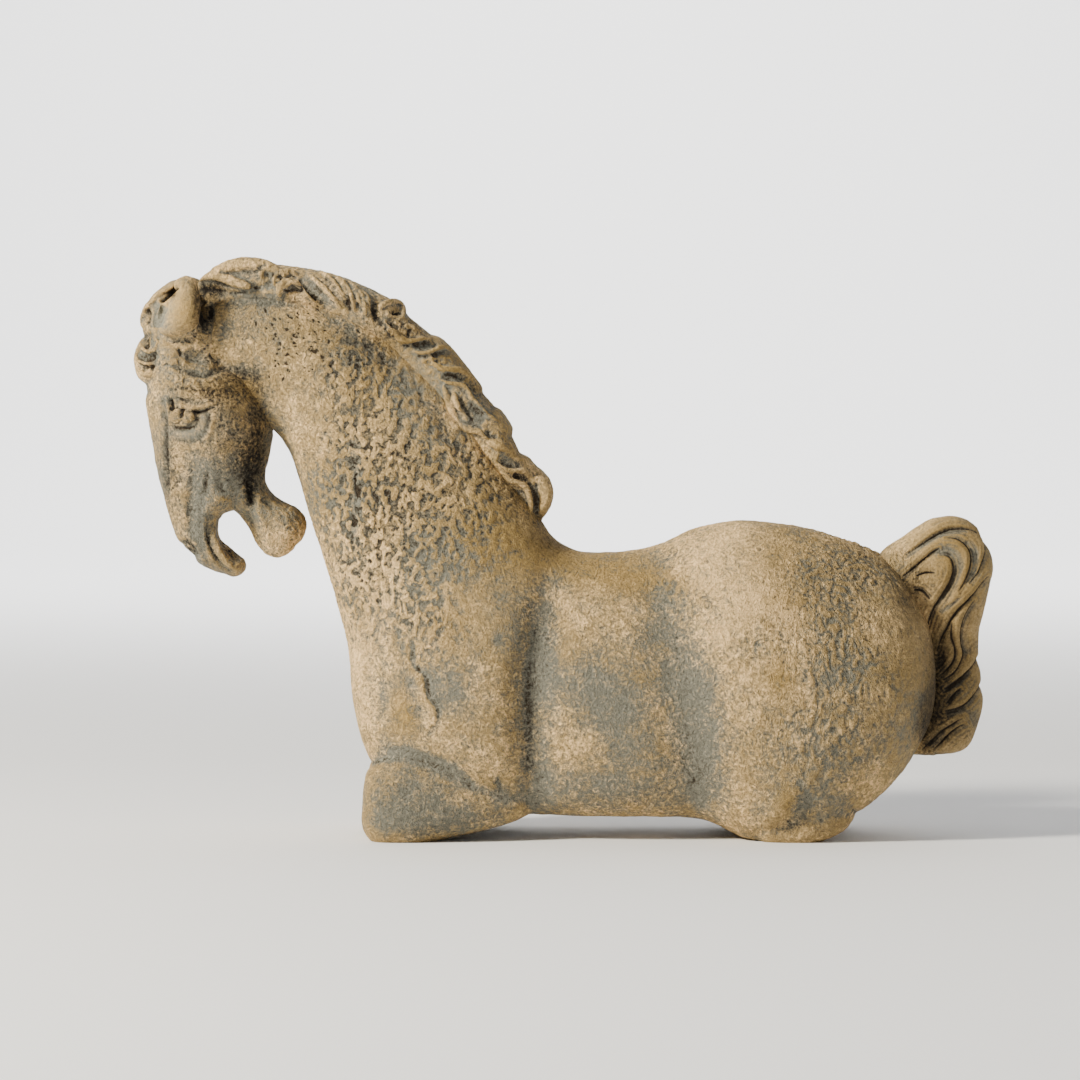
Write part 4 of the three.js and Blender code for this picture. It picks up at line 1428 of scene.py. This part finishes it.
class HORSE_OT_head(bpy.types.Operator):
    """Builds the head with its ears, eyes and forelock"""

    bl_idname = "horse.head"
    bl_label = "Head"

    def execute(self, context):
        skull = loft(SKULL, fullness=lambda *_: SKULL_FULLNESS, masses=HEAD_MASSES, hollows=HEAD_HOLLOWS)
        forelock = loft(FORELOCK, swell=lambda u, v: -FORELOCK_HOLLOW * np.sin(2 * np.pi * v) ** 2)
        ears = both_sides(lambda side: loft(EAR, middle=EAR_MIDDLE, side=side))
        strands = [strand(forelock, *row, side) for row in FORELOCK_STRANDS for side in (-1, 1)]
        piece = one_skin("head", [skull, loft(JAW), forelock, *ears, *strands], HEAD_VOXEL)
        clay = clay_material("Head clay", crumb=0.58, track=0.42, wash=0.12, earth=0.05)
        finish_piece(piece, head_relief, HEAD_CARVING + EYE_SOCKET + LIDS, clay, rounds=3)
        return {"FINISHED"}


class HORSE_OT_mane(bpy.types.Operator):
    """Builds the mane with its locks"""

    bl_idname = "horse.mane"
    bl_label = "Mane"

    def execute(self, context):
        base = loft(MANE, swell=lambda u, v: -MANE_HOLLOW * np.sin(2 * np.pi * v) ** 2)
        strands = [strand(base, *row, side) for row in MANE_STRANDS for side in (-1, 1)]
        piece = one_skin("mane", [base, *strands], MANE_VOXEL)
        clay = clay_material("Mane clay", crumb=0.36, track=0.3, wash=0.1, earth=-0.08)
        finish_piece(piece, mane_relief, MANE_CARVING, clay, rounds=3)
        return {"FINISHED"}


class HORSE_OT_tail(bpy.types.Operator):
    """Builds the tail with its strands"""

    bl_idname = "horse.tail"
    bl_label = "Tail"

    def execute(self, context):
        piece = one_skin("tail", [loft(TAIL)], TAIL_VOXEL)
        clay = clay_material("Tail clay", crumb=0.18, track=0.12, wash=-0.05, earth=0.05)
        finish_piece(piece, tail_relief, tail_carving(), clay, rounds=4)
        return {"FINISHED"}


def look_at(piece, target):
    piece.rotation_euler = (target - piece.location).to_track_quat("-Z", "Y").to_euler()


def swept_up(points):
    """The floor's points, with its back swept up into a wall: past the bend the way along the floor
    turns through a quarter circle, and then goes straight up."""
    past = np.maximum(points[:, 1] - FLOOR_BEND, 0)
    turn = np.minimum(past / SWEEP, np.pi / 2)
    y = np.minimum(points[:, 1], FLOOR_BEND) + SWEEP * np.sin(turn)
    z = SWEEP * (1 - np.cos(turn)) + np.maximum(past - SWEEP * np.pi / 2, 0)
    return np.stack([points[:, 0], y, z], axis=1)


def area_light(name, location, target, size, power, colour):
    light = bpy.data.lights.new(name, "AREA")
    light.energy = power
    light.size = size
    light.color = colour
    lamp = bpy.data.objects.new(name, light)
    lamp.location = location
    bpy.context.scene.collection.objects.link(lamp)
    look_at(lamp, Vector(target))


class HORSE_OT_stage(bpy.types.Operator):
    """Sets the floor, the soft light and the camera of the photograph"""

    bl_idname = "horse.stage"
    bl_label = "Stage"

    def execute(self, context):
        scene = context.scene
        camera = bpy.data.objects.new("camera", bpy.data.cameras.new("camera"))
        camera.location = TARGET + CAMERA_DISTANCE * BACK
        camera.data.sensor_width = SENSOR
        camera.data.lens = SENSOR * CAMERA_DISTANCE / (PHOTO_SIDE * PIXEL)
        scene.collection.objects.link(camera)
        look_at(camera, Vector(TARGET))
        scene.camera = camera

        bpy.ops.mesh.primitive_grid_add(x_subdivisions=4, y_subdivisions=120, size=FLOOR_SIZE)
        floor = context.object
        floor.name = "floor"
        write_points(floor.data, swept_up(read_points(floor.data)))
        floor.data.polygons.foreach_set("use_smooth", np.ones(len(floor.data.polygons), bool))
        material = bpy.data.materials.new("Pale floor")
        material.use_nodes = True
        shader = material.node_tree.nodes["Principled BSDF"]
        shader.inputs["Base Color"].default_value = FLOOR_COLOUR
        shader.inputs["Roughness"].default_value = FLOOR_ROUGHNESS
        floor.data.materials.append(material)

        world = bpy.data.worlds.new("Studio")
        world.use_nodes = True
        background = world.node_tree.nodes["Background"]
        background.inputs["Color"].default_value = (1, 1, 1, 1)
        direction = node(world.node_tree, "TexCoord").outputs["Generated"]
        across = node(world.node_tree, "SeparateXYZ", {0: direction}).outputs["Y"]
        low, high = SKY_REACH
        dim, bright = SKY_STRENGTH
        inputs = {"Value": across, "From Min": low, "From Max": high, "To Min": dim, "To Max": bright}
        strength = node(world.node_tree, "MapRange", inputs, interpolation_type="SMOOTHSTEP")
        world.node_tree.links.new(strength.outputs["Result"], background.inputs["Strength"])
        scene.world = world
        for row in LIGHTS:
            area_light(*row)
        return {"FINISHED"}


class HORSE_PT_panel(bpy.types.Panel):
    """Lists the sizes, the colours and the builders of the figure."""

    bl_idname = "HORSE_PT_panel"
    bl_label = "Clay horse"
    bl_space_type = "VIEW_3D"
    bl_region_type = "UI"
    bl_category = "Horse"

    def draw(self, context):
        for group in (context.scene.horse_sizes, context.scene.clay_finish):
            for name in group.__annotations__:
                self.layout.prop(group, name)
        for operator in OPERATORS:
            self.layout.operator(operator.bl_idname)


OPERATORS = (HORSE_OT_stage, HORSE_OT_body, HORSE_OT_head, HORSE_OT_mane, HORSE_OT_tail)
CLASSES = (HorseSizes, ClayFinish, *OPERATORS, HORSE_PT_panel)


def register():
    for cls in CLASSES:
        bpy.utils.register_class(cls)
    bpy.types.Scene.horse_sizes = bpy.props.PointerProperty(type=HorseSizes)
    bpy.types.Scene.clay_finish = bpy.props.PointerProperty(type=ClayFinish)


def unregister():
    del bpy.types.Scene.clay_finish
    del bpy.types.Scene.horse_sizes
    for cls in reversed(CLASSES):
        bpy.utils.unregister_class(cls)


def main():
    register()
    bpy.ops.horse.stage()
    bpy.ops.horse.body()
    bpy.ops.horse.head()
    bpy.ops.horse.mane()
    bpy.ops.horse.tail()


if __name__ == "__main__":
    main()
